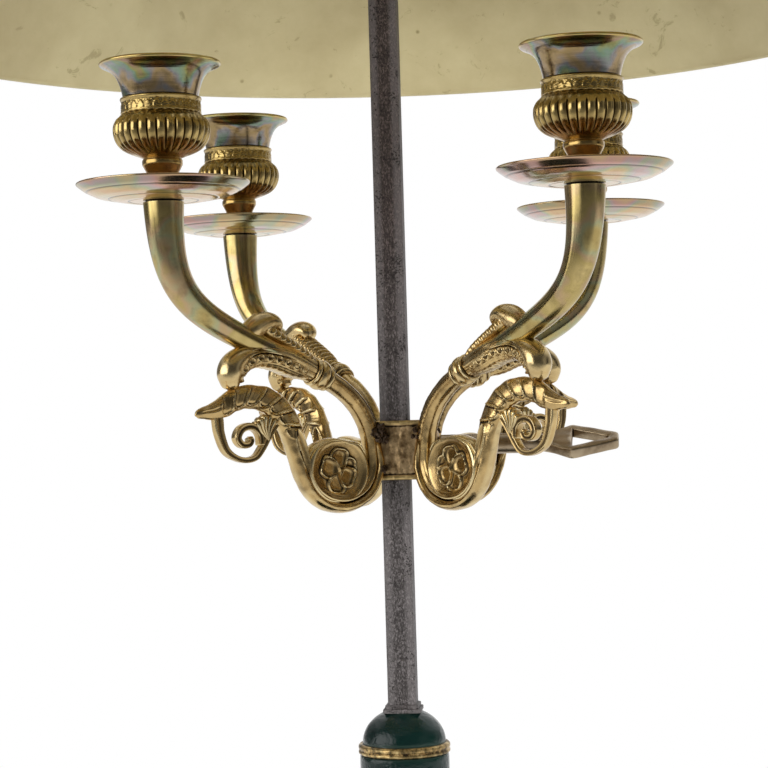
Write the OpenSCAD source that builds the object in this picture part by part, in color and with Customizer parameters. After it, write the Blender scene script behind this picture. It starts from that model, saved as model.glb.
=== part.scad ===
// Bouillotte lamp for four candles: a square iron stem on a weighted painted base, with a sliding
// set of four brass candle branches and a sliding painted shade, each held by a hand screw.
// The origin is the centre of the base's underside, +Z is up and +X is the side of both hand screws.
// Lengths are in millimetres.

/* [Stem] */
// Side of the square iron stem
stem_side = 10.5; // [9:0.5:12]
// Length of the square stem, from its flange to its shoulder under the finial
stem_length = 489; // [470:5:560]
// Diameter of the round tie rod below the square stem
tie_rod_d = 8; // [6:0.5:8.5]

/* [Base] */
// Thickness of the felt under the base
felt_t = 1.5; // [1:0.5:3]
// Distance from the tray's rim in to the felt's edge
felt_inset = 15; // [12:1:20]
// Thickness of the closing plate above the felt
plate_t = 1.2; // [1:0.2:2]
// Diameter of the round tray
dish_d = 200; // [185:5:240]
// Height of the tray's wall above its floor
dish_wall_h = 16; // [12:1:24]
// Thickness of the tray's spun sheet
dish_t = 1.4; // [1:0.1:2]
// Diameter of the gilt band rolled on the tray's rim
rim_band_d = 5; // [4:0.5:7]
// Diameter of the mound in the middle of the tray
mound_d = 120; // [110:2:130]
// Height of the mound
mound_h = 17; // [16:0.5:24]
// Width of the mound's rounded shoulder
mound_round = 13; // [10:0.5:15]
// Height of the trumpet above the mound
trumpet_h = 41; // [36:1:60]
// Diameter of the iron ballast
weight_d = 88; // [70:2:88]
// Diameter of the column
column_d = 33.4; // [30:0.2:38]
// Wall of the column's tube
column_wall = 1.5; // [1:0.25:2.5]
// Length of the column above the trumpet
column_h = 60.7; // [45:0.1:80]
// Height of the ring between trumpet and column
column_ring_h = 4.5; // [3:0.5:6]
// Height of the gilt ring under the dome
dome_ring_h = 4; // [3:0.5:6]
// How far both gilt rings stand out from the column
ring_proud = 0.5; // [0.3:0.1:1.2]
// Diameter of the dome at its base
dome_d = 31.2; // [28:0.2:33]
// Height of the dome
dome_h = 11.5; // [9:0.5:14]

/* [Stem flange] */
// Side of the flange's lower step
flange_side = 14; // [13:0.5:16]
// Height of each of the flange's two steps
flange_step_h = 1.5; // [1:0.25:2]

/* [Sliding sleeves] */
// Height of the candle branches' sleeve
sleeve_h = 22; // [18:1:26]
// Outer side of both sleeves
sleeve_side = 18; // [17.5:0.1:19]
// Clearance between a sleeve and the stem across the screw
sleeve_clear = 0.15; // [0.1:0.05:0.3]
// Wall of a sleeve on the sides that the screw works on
sleeve_wall = 1.6; // [1.2:0.1:2]
// How far the sleeve's two lips stand out
lip_proud = 0.6; // [0.3:0.1:1]
// Height of each lip
lip_h = 1.8; // [1:0.2:3]
// Height of the branches' screw above the middle of their sleeve
screw_rise = 1.4; // [0:0.2:3]
// Height of the middle of the candle branches' sleeve above the stem flange
arms_height = 94.8; // [88:1:160]

/* [Hand screws] */
// Diameter of the screw's shank
shank_d = 7.6; // [6:0.2:9]
// Diameter of the screw's thread
thread_d = 5.6; // [4:0.2:6]
// Length from the boss to the flat head
shank_len = 38; // [30:1:50]
// Length of the flat head
head_len = 31; // [26:1:36]
// Width of the flat head
head_w = 26; // [22:1:30]
// Thickness of the flat head
head_t = 4; // [3:0.25:5]
// Corner radius of the flat head
head_corner = 2; // [1:0.5:4]
// Turn of the flat head about the screw at rest, in degrees
head_roll = 20; // [-45:5:45]
// Height of the threaded boss on the sleeve
boss_len = 5; // [4:0.5:7]
// Diameter of the threaded boss
boss_d = 11.5; // [10:0.5:12]
// Thickness of the pad between screw and stem
pad_t = 2; // [1.5:0.1:2.2]
// Width of the pad
pad_w = 8; // [6:0.5:9]
// Height of the pad
pad_h = 13; // [10:0.5:16]

/* [Candle branches] */
// Distance from the sleeve's middle to the middle of a candle
arm_reach = 102.3; // [96:1:120]
// Height of a horn's top above the sleeve's middle
arm_rise = 89.2; // [84:1:105]
// Distance from the sleeve's middle to the outermost leaf of the scroll
scroll_reach = 91.5; // [86:0.5:96]
// Diameter of a horn where it leaves its leaf cup
horn_foot_d = 8.6; // [7:0.2:10]
// Diameter of a horn under the drip pan
horn_top_d = 14.2; // [12:0.2:16]
// Diameter of the cast tube above the volute
tube_d = 7; // [6:0.2:9]
// Width of the cast scroll, square to its plane
scroll_w = 8; // [6:0.5:9]

/* [Pans and cups] */
// Diameter of a drip pan
pan_d = 60; // [54:1:66]
// Depth of a drip pan
pan_depth = 5.7; // [4.5:0.1:7]
// Thickness of a drip pan
pan_t = 1.2; // [0.8:0.1:1.6]
// Diameter of the candle
candle_d = 22; // [20:0.5:22.5]
// Clearance around the candle, on the radius
candle_clear = 0.2; // [0.1:0.05:0.3]
// Depth of the candle's straight socket
socket_depth = 16; // [12:0.5:16]
// Wall of the liner
liner_wall = 1.1; // [0.8:0.1:1.2]
// Diameter of the liner's flared rim
liner_rim_d = 42; // [36:1:46]
// Height of the liner's flare above the cup's band
flare_h = 11.4; // [9:0.2:14]
// Clearance between liner and cup, on the radius
liner_clear = 0.1; // [0.05:0.05:0.2]
// Diameter of the band around the cup's mouth
band_d = 28.8; // [27.6:0.2:30]
// Height of the band around the cup's mouth
band_h = 6.8; // [5:0.2:9]
// Largest diameter of the cup's gadrooned bulb
bulb_d = 33.4; // [31:0.2:36]
// Height of the cup's gadrooned bulb
bulb_h = 13.2; // [12:0.2:16]
// Height of the cup's neck, from the pan's floor to the bulb
neck_h = 14.3; // [12:0.1:17]
// Diameter of the cup's neck
neck_d = 15; // [12:0.2:16]
// Diameter of the screws that hold cups and pans on the horns
stud_d = 5; // [4:0.5:6]

/* [Shade] */
// Diameter of the shade's rim
shade_d = 420; // [400:5:440]
// Diameter of the shade's open top
shade_top_d = 284; // [276:2:300]
// Height of the shade
shade_h = 138; // [125:1:150]
// Thickness of the shade's sheet
shade_t = 0.8; // [0.6:0.1:1.2]
// Diameter of the rolled edges
roll_d = 3.2; // [2.8:0.1:4]
// Diameter of the wire inside the rolled edges
wire_d = 1.7; // [1.2:0.1:1.8]
// Distance from the stem's shoulder down to the shade's rim
shade_drop = 228; // [222:1:240]
// Width of the spider's strips
strip_w = 11; // [8:1:14]
// Thickness of the spider's strips
strip_t = 1.6; // [1.2:0.1:2]
// Distance from the shade's top edge down to the strips
strip_drop = 11; // [9:1:14]
// Height of the tabs that fasten the strips to the wall
tab_h = 14; // [12:1:18]
// Diameter of the rivets
rivet_d = 3; // [2.5:0.25:3.5]
// Height of the shade's sleeve
shade_sleeve_h = 38; // [36:1:44]
// Distance from the strips up to the screw of the shade
screw_lift = 22; // [20:1:26]

/* [Finial] */
// Diameter of the finial's foot
finial_d = 20; // [16:0.5:24]
// Height of the finial
finial_h = 27; // [24:1:34]
// Inner diameter of the carry ring
ring_bore = 16; // [12:1:20]
// Thickness of the carry ring
ring_t = 4; // [3:0.25:5]

/* [Hidden] */
$fn = 96;

gap = 0.05;                 // assembly clearance on a radius
reach_over = 1;             // how far a cutter passes the face that it cuts
branch_angles = [45, 135, 225, 315];

// ---- levels of the base, from the table up ----
plate_z = felt_t;
floor_z = plate_z + plate_t;              // underside of the tray's floor
tray_floor_z = floor_z + dish_t;
wall_top_z = tray_floor_z + dish_wall_h;
r_rim = dish_d / 2 - rim_band_d / 2;      // middle of the tray's rim
r_floor = r_rim - dish_wall_h * 0.55;     // the wall leans out from here
mound_z = tray_floor_z + mound_h;
trumpet_top_z = mound_z + trumpet_h;
column_z = trumpet_top_z;
column_top_z = column_z + column_h;
dome_z = column_top_z + dome_ring_h;
flange_z = dome_z + dome_h;
stem_z = flange_z + 2 * flange_step_h;
stem_top_z = stem_z + stem_length;
rod_hole_d = tie_rod_d + 8 * gap;

// ---- nut chamber under the ballast ----
nut_t = 6;
nut_sink = 1.2;                           // the nut stays this far above the closing plate
nut_d = tie_rod_d * 1.9;
washer_t = 1.6;
washer_d = tie_rod_d * 2.6;
chamber_h = nut_sink + nut_t + washer_t;
chamber_d = washer_d + 2 * nut_sink;
weight_h = mound_h;                       // the tray's mound rests on the ballast

// ---- sleeves: the stem lies against the sleeve's -X wall, because the screw pushes from +X ----
sleeve_half = sleeve_side / 2;
sleeve_x = sleeve_half - sleeve_wall - stem_side / 2 - gap;
sleeve_bore_x0 = -stem_side / 2 - gap;
sleeve_bore_x1 = sleeve_x + sleeve_half - sleeve_wall;
arms_z = stem_z + arms_height;
boss_face_x = sleeve_x + sleeve_half + boss_len;
pad_x0 = stem_side / 2;

// ---- candle branches, in the plane of one arm: distance from the sleeve, height over its middle ----
k = scroll_reach / 91.5;                  // the scroll keeps its proportions when its reach changes
cuff_start = [34.7 * k, 27.3 * k];
horn_start = [60 * k, 37.6 * k];
horn_dir = (horn_start - cuff_start) / norm(horn_start - cuff_start);
horn_top = [arm_reach, arm_rise];
horn_lead = 36;                           // how far the horn keeps its first direction
horn_upright = 33;                        // how far below its top the horn turns upright
stud_depth = 15;
sweep_sides = 10;

// ---- cups, measured up from the drip pan's seat on the horn ----
socket_r = candle_d / 2 + candle_clear;
liner_r = socket_r + liner_wall;
cup_bore_r = liner_r + liner_clear;
cup_z = pan_t;
bulb_z = cup_z + neck_h;
band_z = bulb_z + bulb_h;
mouth_z = band_z + band_h;
rim_z = mouth_z + flare_h;
liner_floor = 1;
socket_z = mouth_z + 1.5 - socket_depth;
liner_z = socket_z - liner_floor;
stud_head_h = 2.2;
cup_floor_z = liner_z - stud_head_h - 0.4;

// ---- shade ----
shade_z = stem_top_z - shade_drop;        // level of the rim
shade_top_z = shade_z + shade_h;
shade_lean = (shade_d - shade_top_d) / 2 / shade_h;
roll_out = (roll_d - shade_t) / 2;        // the edges roll outwards, flush with the sheet's inner face
strip_z = shade_top_z - strip_drop;       // underside of the strips
shade_screw_z = strip_z + screw_lift;
screw_cover = 13;                         // the shade's sleeve reaches this far above its screw
shade_sleeve_z = shade_screw_z + screw_cover - shade_sleeve_h;

lacquer = "#1d2b22";
gilt = "#a98a4a";
brass = "#b3985a";
iron = "#4a4543";
paint = "#b9ac82";

// ---------------------------------------------------------------- helpers

// A ring of turned material: the outline is a list of [radius, height] points.
module turned(outline) { rotate_extrude() polygon(outline); }

// A washer-like ring standing on z.
module tube(outer_d, inner_d, z, h) {
    translate([0, 0, z]) difference() {
        cylinder(d = outer_d, h = h);
        translate([0, 0, -reach_over]) cylinder(d = inner_d, h = h + 2 * reach_over);
    }
}

// Catmull-Rom curve through the control points, with `steps` pieces between neighbours.
function curve(p, steps) = concat(
    [for (i = [0 : len(p) - 2]) for (s = [0 : steps - 1])
        let (a = p[max(i - 1, 0)], b = p[i], c = p[i + 1], d = p[min(i + 2, len(p) - 1)], t = s / steps)
        0.5 * (2 * b + (c - a) * t + (2 * a - 5 * b + 4 * c - d) * t * t + (3 * b - a - 3 * c + d) * t * t * t)],
    [p[len(p) - 1]]);

// Cubic Bezier point.
function bezier(p, t) =
    pow(1 - t, 3) * p[0] + 3 * t * pow(1 - t, 2) * p[1] + 3 * t * t * (1 - t) * p[2] + pow(t, 3) * p[3];

// Unit direction of a path at point i.
function heading(p, i) =
    let (d = p[min(i + 1, len(p) - 1)] - p[max(i - 1, 0)], v = [d[0], d[1]]) v / norm(v);

// A rod swept along a path in the X-Z plane. Each point is [x, z, half size in the plane, half size
// across it]. The first and last sections stand square to first_dir and last_dir where these are given.
module swept(path, sides = sweep_sides, first_dir = undef, last_dir = undef) {
    n = len(path);
    rings = [for (i = [0 : n - 1])
        let (t = i == 0 && first_dir != undef ? first_dir : i == n - 1 && last_dir != undef ? last_dir : heading(path, i))
        for (s = [0 : sides - 1])
            let (a = 360 * s / sides)
            [path[i][0] - t[1] * path[i][2] * cos(a), path[i][3] * sin(a), path[i][1] + t[0] * path[i][2] * cos(a)]];
    walls = [for (i = [0 : n - 2]) for (s = [0 : sides - 1])
        let (s2 = (s + 1) % sides)
        each [[i * sides + s, i * sides + s2, (i + 1) * sides + s],
              [i * sides + s2, (i + 1) * sides + s2, (i + 1) * sides + s]]];
    first_cap = [for (s = [sides - 1 : -1 : 0]) s];
    last_cap = [for (s = [0 : sides - 1]) (n - 1) * sides + s];
    polyhedron(rings, concat(walls, [first_cap, last_cap]));
}

// Places its child in the plane of branch i.
module at_branch(i) { translate([sleeve_x, 0, arms_z]) rotate([0, 0, branch_angles[i - 1]]) children(); }

// Places its child on the seat of branch i's drip pan.
module at_seat(i) { at_branch(i) translate([arm_reach, 0, arm_rise]) children(); }

// ---------------------------------------------------------------- base

module base_felt() {
    color("#23402c") cylinder(d = dish_d - 2 * felt_inset, h = felt_t);
}

module base_plate() {
    color(iron) translate([0, 0, plate_z]) cylinder(d = dish_d - 2 * felt_inset + 2 * plate_t, h = plate_t);
}

module base_weight() {
    color("#3c3b3a") translate([0, 0, floor_z]) difference() {
        cylinder(d = weight_d, h = weight_h);
        translate([0, 0, -reach_over]) cylinder(d = rod_hole_d, h = weight_h + 2 * reach_over);
        translate([0, 0, -reach_over]) cylinder(d = chamber_d, h = chamber_h + reach_over);
    }
}

// Outline of one face of the tray's middle: the mound's shoulder is a convex quarter ellipse, and the
// trumpet above it is a concave one that ends upright at the column.
function mound_face(r_foot, r_ledge, r_neck, z_floor, z_ledge, z_top, n = 12) = concat(
    [for (i = [0 : n]) let (a = 90 * i / n)
        [r_ledge + (r_foot - r_ledge) * cos(a), z_floor + (z_ledge - z_floor) * sin(a)]],
    [for (i = [1 : n]) let (a = 90 * i / n)
        [r_ledge - (r_ledge - r_neck) * sin(a), z_top - (z_top - z_ledge) * cos(a)]]);

// Section of the tray's leaning wall, wider by `grow` on each side and at its top edge.
module wall_section(grow = 0) {
    polygon([[r_floor + dish_t / 2 + grow, floor_z], [r_rim + dish_t / 2 + grow, wall_top_z + grow],
             [r_rim - dish_t / 2 - grow, wall_top_z + grow], [r_floor - dish_t / 2 - grow, tray_floor_z]]);
}

module base_dish() {
    r_foot = mound_d / 2;
    r_ledge = r_foot - mound_round;
    r_neck = column_d / 2;
    outer = mound_face(r_foot, r_ledge, r_neck, tray_floor_z, mound_z, trumpet_top_z);
    inner = mound_face(r_foot - dish_t, r_ledge - dish_t, r_neck - dish_t, floor_z, mound_z - dish_t, trumpet_top_z);
    color(lacquer) turned(concat(
        outer,
        [for (i = [len(inner) - 1 : -1 : 0]) inner[i]],
        [[r_floor + dish_t / 2, floor_z], [r_rim + dish_t / 2, wall_top_z],
         [r_rim - dish_t / 2, wall_top_z], [r_floor - dish_t / 2, tray_floor_z]]));
}

// The band is slotted, and the wall's edge reaches its middle.
module dish_rim_band() {
    color(gilt) rotate_extrude() difference() {
        translate([r_rim, wall_top_z]) circle(d = rim_band_d, $fn = 32);
        wall_section(gap);
    }
}

module column_ring() {
    color(gilt) tube(column_d + 2 * ring_proud + 1.6, column_d + 2 * gap, column_z, column_ring_h);
}

module column() {
    color(lacquer) tube(column_d, column_d - 2 * column_wall, column_z, column_h);
}

module dome_ring() {
    color(gilt) tube(column_d + 2 * ring_proud, rod_hole_d, column_top_z, dome_ring_h);
}

module dome_cap() {
    last = acos(flange_side / dome_d);        // the dome ends in a flat as wide as the flange
    color(lacquer) difference() {
        translate([0, 0, dome_z]) turned(concat([[0, 0]],
            [for (i = [0 : 12]) let (a = last * i / 12) [dome_d / 2 * cos(a), dome_h / sin(last) * sin(a)]],
            [[0, dome_h]]));
        translate([0, 0, dome_z - reach_over]) cylinder(d = rod_hole_d, h = dome_h + 2 * reach_over);
    }
}

module stem_flange() {
    color(iron) difference() {
        union() {
            for (step = [0, 1])
                translate([0, 0, flange_z + (step + 0.5) * flange_step_h])
                    cube([flange_side - 1.6 * step, flange_side - 1.6 * step, flange_step_h], center = true);
        }
        translate([0, 0, flange_z - reach_over]) cylinder(d = rod_hole_d, h = 4 * flange_step_h);
    }
}

module stem() {
    rod_z = floor_z + nut_sink - tie_rod_d / 8;   // the rod ends a little below its nut
    thread_h = finial_h * 0.5;
    color(iron) union() {
        translate([-stem_side / 2, -stem_side / 2, stem_z]) cube([stem_side, stem_side, stem_length]);
        translate([0, 0, rod_z]) cylinder(d = tie_rod_d, h = stem_z - rod_z);
        translate([0, 0, stem_top_z]) cylinder(d = tie_rod_d - 2, h = thread_h);
    }
}

module stem_washer() {
    color("#6d6a66") tube(washer_d, tie_rod_d + 2 * gap, floor_z + chamber_h - washer_t, washer_t);
}

module stem_nut() {
    color("#6d6a66") translate([0, 0, floor_z + chamber_h - washer_t - nut_t]) difference() {
        cylinder(d = nut_d, h = nut_t, $fn = 6);
        translate([0, 0, -reach_over]) cylinder(d = tie_rod_d + 2 * gap, h = nut_t + 2 * reach_over);
    }
}

module finial() {
    h = finial_h;
    r = finial_d / 2;
    color(brass) translate([0, 0, stem_top_z]) difference() {
        turned([[0, 0], [r, 0], [r, 0.1 * h], [0.82 * r, 0.14 * h], [0.55 * r, 0.22 * h], [0.48 * r, 0.32 * h],
                [0.6 * r, 0.38 * h], [0.86 * r, 0.46 * h], [0.95 * r, 0.58 * h], [0.84 * r, 0.7 * h],
                [0.58 * r, 0.8 * h], [0.4 * r, 0.86 * h], [0.5 * r, 0.92 * h], [0.42 * r, h], [0, h]]);
        translate([0, 0, -reach_over]) cylinder(d = tie_rod_d - 2 + 2 * gap, h = finial_h * 0.5 + 0.4 + reach_over);
    }
}

module carry_ring() {
    ring_r = (ring_bore + ring_t) / 2;
    centre_z = stem_top_z + finial_h + ring_r + ring_t / 2 - 0.8;
    color(brass) difference() {
        translate([0, 0, centre_z]) rotate([90, 0, 0])
            rotate_extrude() translate([ring_r, 0]) circle(d = ring_t, $fn = 32);
        translate([0, 0, stem_top_z + finial_h - finial_d]) cylinder(d = finial_d, h = finial_d);
    }
}

// ---------------------------------------------------------------- sliding sleeves and hand screws

// Solid outline of a sleeve with its lips, which the branches are notched over.
module sleeve_block(h, grow = 0) {
    translate([0, 0, -h / 2]) translate([-sleeve_half, -sleeve_half, -grow])
        cube([sleeve_side, sleeve_side, h + 2 * grow]);
    for (z = [-h / 2 - grow, h / 2 - lip_h])
        translate([-sleeve_half - lip_proud, -sleeve_half - lip_proud, z])
            cube([sleeve_side + 2 * lip_proud, sleeve_side + 2 * lip_proud, lip_h + grow]);
}

// A sleeve of height h whose middle is at z, with the boss of its screw at screw_z.
module sliding_sleeve(h, z, screw_z) {
    difference() {
        union() {
            translate([sleeve_x, 0, z]) sleeve_block(h);
            translate([sleeve_x + sleeve_half - sleeve_wall / 2, 0, screw_z]) rotate([0, 90, 0])
                cylinder(d = boss_d, h = boss_len + sleeve_wall / 2);
        }
        translate([sleeve_bore_x0, -stem_side / 2 - sleeve_clear, z - h / 2 - reach_over])
            cube([sleeve_bore_x1 - sleeve_bore_x0, stem_side + 2 * sleeve_clear, h + 2 * reach_over]);
        translate([stem_side / 2, 0, screw_z]) rotate([0, 90, 0])
            cylinder(d = thread_d + 2 * gap, h = boss_face_x - stem_side / 2 + reach_over);
    }
}

module clamp_pad(screw_z) {
    translate([pad_x0, -pad_w / 2, screw_z - pad_h / 2]) cube([pad_t, pad_w, pad_h]);
}

// Outline of the flat head: a rhombus with rounded corners, blunt at its outer end.
module head_outline() {
    hull() {
        translate([head_corner, 0]) circle(r = head_corner, $fn = 32);
        for (side = [-1, 1]) translate([head_len * 0.45, side * (head_w / 2 - head_corner)])
            circle(r = head_corner, $fn = 32);
        for (side = [-1, 1]) translate([head_len - head_corner, side * head_w * 0.14])
            circle(r = head_corner, $fn = 32);
    }
}

// The hole keeps an even frame around itself: widest at the middle of the head, narrow at its end.
module head_hole() {
    frame = 4;
    x0 = head_len * 0.45;
    x1 = head_len - frame;
    wide = head_w / 2 - frame;
    polygon([[x0, -wide], [x0, wide], [x1, head_w * 0.05], [x1, -head_w * 0.05]]);
}

module hand_screw(screw_z) {
    tip_x = pad_x0 + pad_t;
    head_x = boss_face_x + shank_len;
    translate([0, 0, screw_z]) rotate([head_roll, 0, 0]) {
        translate([tip_x, 0, 0]) rotate([0, 90, 0]) cylinder(d = thread_d, h = boss_face_x + gap - tip_x + 1);
        translate([boss_face_x + gap * 4, 0, 0]) rotate([0, 90, 0]) cylinder(d = shank_d, h = shank_len);
        translate([head_x, 0, -head_t / 2]) difference() {
            translate([-2, 0, 0]) linear_extrude(head_t) head_outline();
            translate([-2, 0, -reach_over]) linear_extrude(head_t + 2 * reach_over) head_hole();
        }
    }
}

module arm_sleeve() { color("#5a4426") sliding_sleeve(sleeve_h, arms_z, arms_z + screw_rise); }
module arm_pad() { color(brass) clamp_pad(arms_z + screw_rise); }
module arm_key() { color("#6b5a45") hand_screw(arms_z + screw_rise); }

// ---------------------------------------------------------------- candle branches

// The casting's main line: down from the cuff, round the volute, up through the foliage to a leaf tip.
// Each point is [distance, height, half size in the plane, half size across it].
scroll_line = [
    [34.7, 27.3, 3.5, 3.5], [26.9, 22.6, 3.5, 3.5], [20.3, 16.6, 3.5, 3.5], [15.9, 9, 3.5, 3.5],
    [14, 0.5, 3.5, 3.6], [13.8, -7, 3.6, 4], [18, -14.3, 3.6, 4], [26, -17.8, 3.6, 4], [35, -17.2, 3.7, 4],
    [42, -13.4, 3.8, 4], [46.3, -6.6, 3.9, 4], [48.8, 1.2, 4.4, 4], [51.5, 9.2, 5, 4], [56, 16.2, 5, 4],
    [63, 20.4, 4.6, 3.8], [71, 21.5, 3.7, 3.4], [78, 19.4, 3.6, 3], [85, 17, 2.4, 2.2], [91, 15.9, 0.7, 0.8]];
rosette_at = [31, -7];
rosette_r = 10;
rosette_ring = 1.9;
spiral_at = [71.2, 6.6];
second_line = [[48.5, -4, 1.6, 3], [52, 4.5, 1.6, 2.8], [56.5, 11, 1.5, 2.6], [60, 8, 1.4, 2.4], [62.5, 3, 1.3, 2.2]];

// The small spiral: its radius shrinks evenly with the angle, from the leaf round to the eye.
function spiral_line() =
    [for (i = [0 : 30]) let (f = i / 30, a = 40 - 560 * f, rad = 13 * pow(0.2, f))
        [spiral_at[0] + rad * cos(a), spiral_at[1] + rad * sin(a) * 0.88, 1.8 - 0.7 * f, 2.6 - 0.4 * f]];

function sized(p) = [for (q = p) [q[0] * k, q[1] * k, q[2] * tube_d / 7, q[3] * scroll_w / 8]];

module arm_scroll(i) {
    color(gilt) at_branch(i) difference() {
        union() {
            swept(sized(curve(scroll_line, 2)), first_dir = -horn_dir);
            swept(sized(spiral_line()), sides = 8);
            swept(sized(curve(second_line, 3)), sides = 8);
            translate([rosette_at[0] * k, 0, rosette_at[1] * k]) rotate([90, 0, 0]) {
                cylinder(r = rosette_r * k, h = scroll_w * 0.7, center = true);
                rotate_extrude() translate([rosette_r * k, 0]) circle(r = rosette_ring * k, $fn = 24);
            }
        }
        rotate([0, 0, -branch_angles[i - 1]]) sleeve_block(sleeve_h);
    }
}

// The leaf cup widens from the ringed cuff to the foot of the horn, and carries one leaf above the horn
// and one below it, each curled over at its tip.
upper_leaf = [[46, 36.4, 1.1, 3.4], [52, 39.8, 1.1, 4], [57, 42.8, 1.1, 4.3], [61.5, 45.2, 1.3, 4.3],
              [64, 47.4, 1.6, 4.2], [62.6, 49.8, 2, 4], [60.2, 48.4, 1.6, 3.2]];
lower_leaf = [[45, 29, 2.2, 3.4], [54, 32.4, 2.9, 4], [63, 34.4, 3.2, 4.2], [70, 34.4, 3.1, 4.2],
              [76, 32.8, 2.8, 4.1], [78.4, 29.4, 2.3, 3.8], [76, 26.6, 1.9, 3.4]];

function cuff_line() = [for (s = [0 : 12]) let (
        f = s / 12,
        bump = s == 2 || s == 5 ? 0.9 : 0,
        half = (tube_d / 2 + 0.8) * (1 - f) + (horn_foot_d / 2 + 0.4) * f + bump,
        at = cuff_start * (1 - f) + horn_start * f)
    [at[0], at[1], half, half]];

module leaf_cup(i) {
    color(gilt) at_branch(i) difference() {
        union() {
            swept(cuff_line(), sides = 16, first_dir = horn_dir, last_dir = horn_dir);
            swept([for (q = curve(upper_leaf, 2)) q * k]);
            swept([for (q = curve(lower_leaf, 2)) q * k]);
        }
        swept(horn_line(0.35), sides = 16, first_dir = horn_dir, last_dir = [0, 1]);
    }
}

// The horn bends from the leaf cup's slope to upright under the drip pan.
function horn_line(grow = 0) = [for (s = [0 : 14]) let (
        f = s / 14,
        at = bezier([horn_start, horn_start + horn_lead * horn_dir, [arm_reach, arm_rise - horn_upright], horn_top], f),
        half = horn_foot_d / 2 + (horn_top_d - horn_foot_d) / 2 * pow(f, 1.5) + grow)
    [at[0], at[1], half, half]];

module arm_horn(i) {
    color(brass) difference() {
        at_branch(i) swept(horn_line(), sides = 16, first_dir = horn_dir, last_dir = [0, 1]);
        at_seat(i) translate([0, 0, -stud_depth - 1]) cylinder(d = stud_d + 2 * gap, h = stud_depth + 1 + reach_over);
    }
}

// ---------------------------------------------------------------- pans, cups and liners

module drip_pan(i) {
    r = pan_d / 2;
    flat_r = horn_top_d / 2 + 7;
    color("#c2a98a") at_seat(i) difference() {
        turned([[0, 0], [flat_r, 0], [r * 0.76, pan_depth * 0.28], [r * 0.9, pan_depth * 0.62], [r, pan_depth],
                [r, pan_depth + pan_t * 0.7], [r - pan_t, pan_depth + pan_t * 0.7],
                [r * 0.89 - pan_t * 0.4, pan_depth * 0.62 + pan_t], [r * 0.75, pan_depth * 0.28 + pan_t],
                [flat_r, pan_t], [0, pan_t]]);
        translate([0, 0, -reach_over]) cylinder(d = stud_d + 2 * gap, h = pan_t + 2 * reach_over);
    }
}

module candle_cup(i) {
    n = neck_d / 2;
    b = bulb_d / 2;
    color(gilt) at_seat(i) difference() {
        turned([
            [0, cup_z], [0.8 * n, cup_z], [0.7 * n, cup_z + 0.2 * neck_h], [0.72 * n, cup_z + 0.55 * neck_h],
            [n, cup_z + 0.8 * neck_h], [n, bulb_z],
            [0.71 * b, bulb_z + 0.11 * bulb_h], [0.87 * b, bulb_z + 0.26 * bulb_h],
            [0.985 * b, bulb_z + 0.44 * bulb_h], [b, bulb_z + 0.67 * bulb_h], [0.93 * b, bulb_z + 0.9 * bulb_h],
            [0.8 * b, band_z],
            [band_d / 2 - 0.8, band_z + 0.05 * band_h], [band_d / 2, band_z + 0.3 * band_h],
            [band_d / 2 - 0.2, mouth_z - 0.12 * band_h], [band_d / 2, mouth_z], [0, mouth_z]]);
        translate([0, 0, cup_floor_z]) cylinder(r = cup_bore_r, h = mouth_z - cup_floor_z + reach_over);
        translate([0, 0, cup_z - reach_over]) cylinder(d = stud_d + 2 * gap, h = cup_floor_z - cup_z + 2 * reach_over);
    }
}

module cup_studs() {
    color("#8b8377") for (i = [1 : 4]) at_seat(i) {
        translate([0, 0, -stud_depth]) cylinder(d = stud_d, h = stud_depth + cup_floor_z);
        translate([0, 0, cup_floor_z]) cylinder(d = stud_d * 1.8, h = stud_head_h);
    }
}

// One face of the liner's flare: it opens evenly at first and turns out quickly at the rim.
function flare(r0, r1, z0, z1, n = 10) =
    [for (i = [0 : n]) let (f = i / n) [r0 + (r1 - r0) * (0.58 * f + 0.42 * pow(f, 5)), z0 + (z1 - z0) * f]];

module candle_liner(i) {
    r_rim = liner_rim_d / 2;
    r_seat = band_d / 2 - 0.6;                // the flare rests on the cup's mouth
    straight_z = socket_z + socket_depth;
    outer = flare(r_seat, r_rim, mouth_z, rim_z);
    inner = flare(r_seat - liner_wall, r_rim - liner_wall * 0.8, straight_z, rim_z);
    color("#c9b28c") at_seat(i) difference() {
        turned(concat([[0, liner_z], [liner_r, liner_z], [liner_r, mouth_z]], outer,
                      [for (q = [len(inner) - 1 : -1 : 0]) inner[q]], [[socket_r, straight_z - 1], [0, straight_z - 1]]));
        translate([0, 0, socket_z]) cylinder(r = socket_r, h = socket_depth - 1 + reach_over);
    }
}

// ---------------------------------------------------------------- shade

// Middle radius of the shade's sheet at height z.
function shade_r(z) = shade_d / 2 - (z - shade_z) * shade_lean;

// Cone-shaped sheet whose faces lie at the given distances from the middle of the shade's sheet.
module cone_sheet(from, to, z0, z1) {
    turned([[shade_r(z0) + from, z0], [shade_r(z0) + to, z0], [shade_r(z1) + to, z1], [shade_r(z1) + from, z1]]);
}

module shade_wall() {
    color(paint) difference() {
        rotate_extrude() difference() {
            union() {
                polygon([[shade_r(shade_z) - shade_t / 2, shade_z], [shade_r(shade_z) + shade_t / 2, shade_z],
                         [shade_r(shade_top_z) + shade_t / 2, shade_top_z],
                         [shade_r(shade_top_z) - shade_t / 2, shade_top_z]]);
                for (z = [shade_z, shade_top_z]) translate([shade_r(z) + roll_out, z]) circle(d = roll_d, $fn = 24);
            }
            for (z = [shade_z, shade_top_z]) translate([shade_r(z) + roll_out, z])
                circle(d = wire_d + 2 * gap, $fn = 24);
        }
        for (a = [0 : 90 : 270]) rotate([0, 0, a]) at_rivet() rivet_shank(rivet_d + 2 * gap, reach_over);
    }
}

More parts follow.
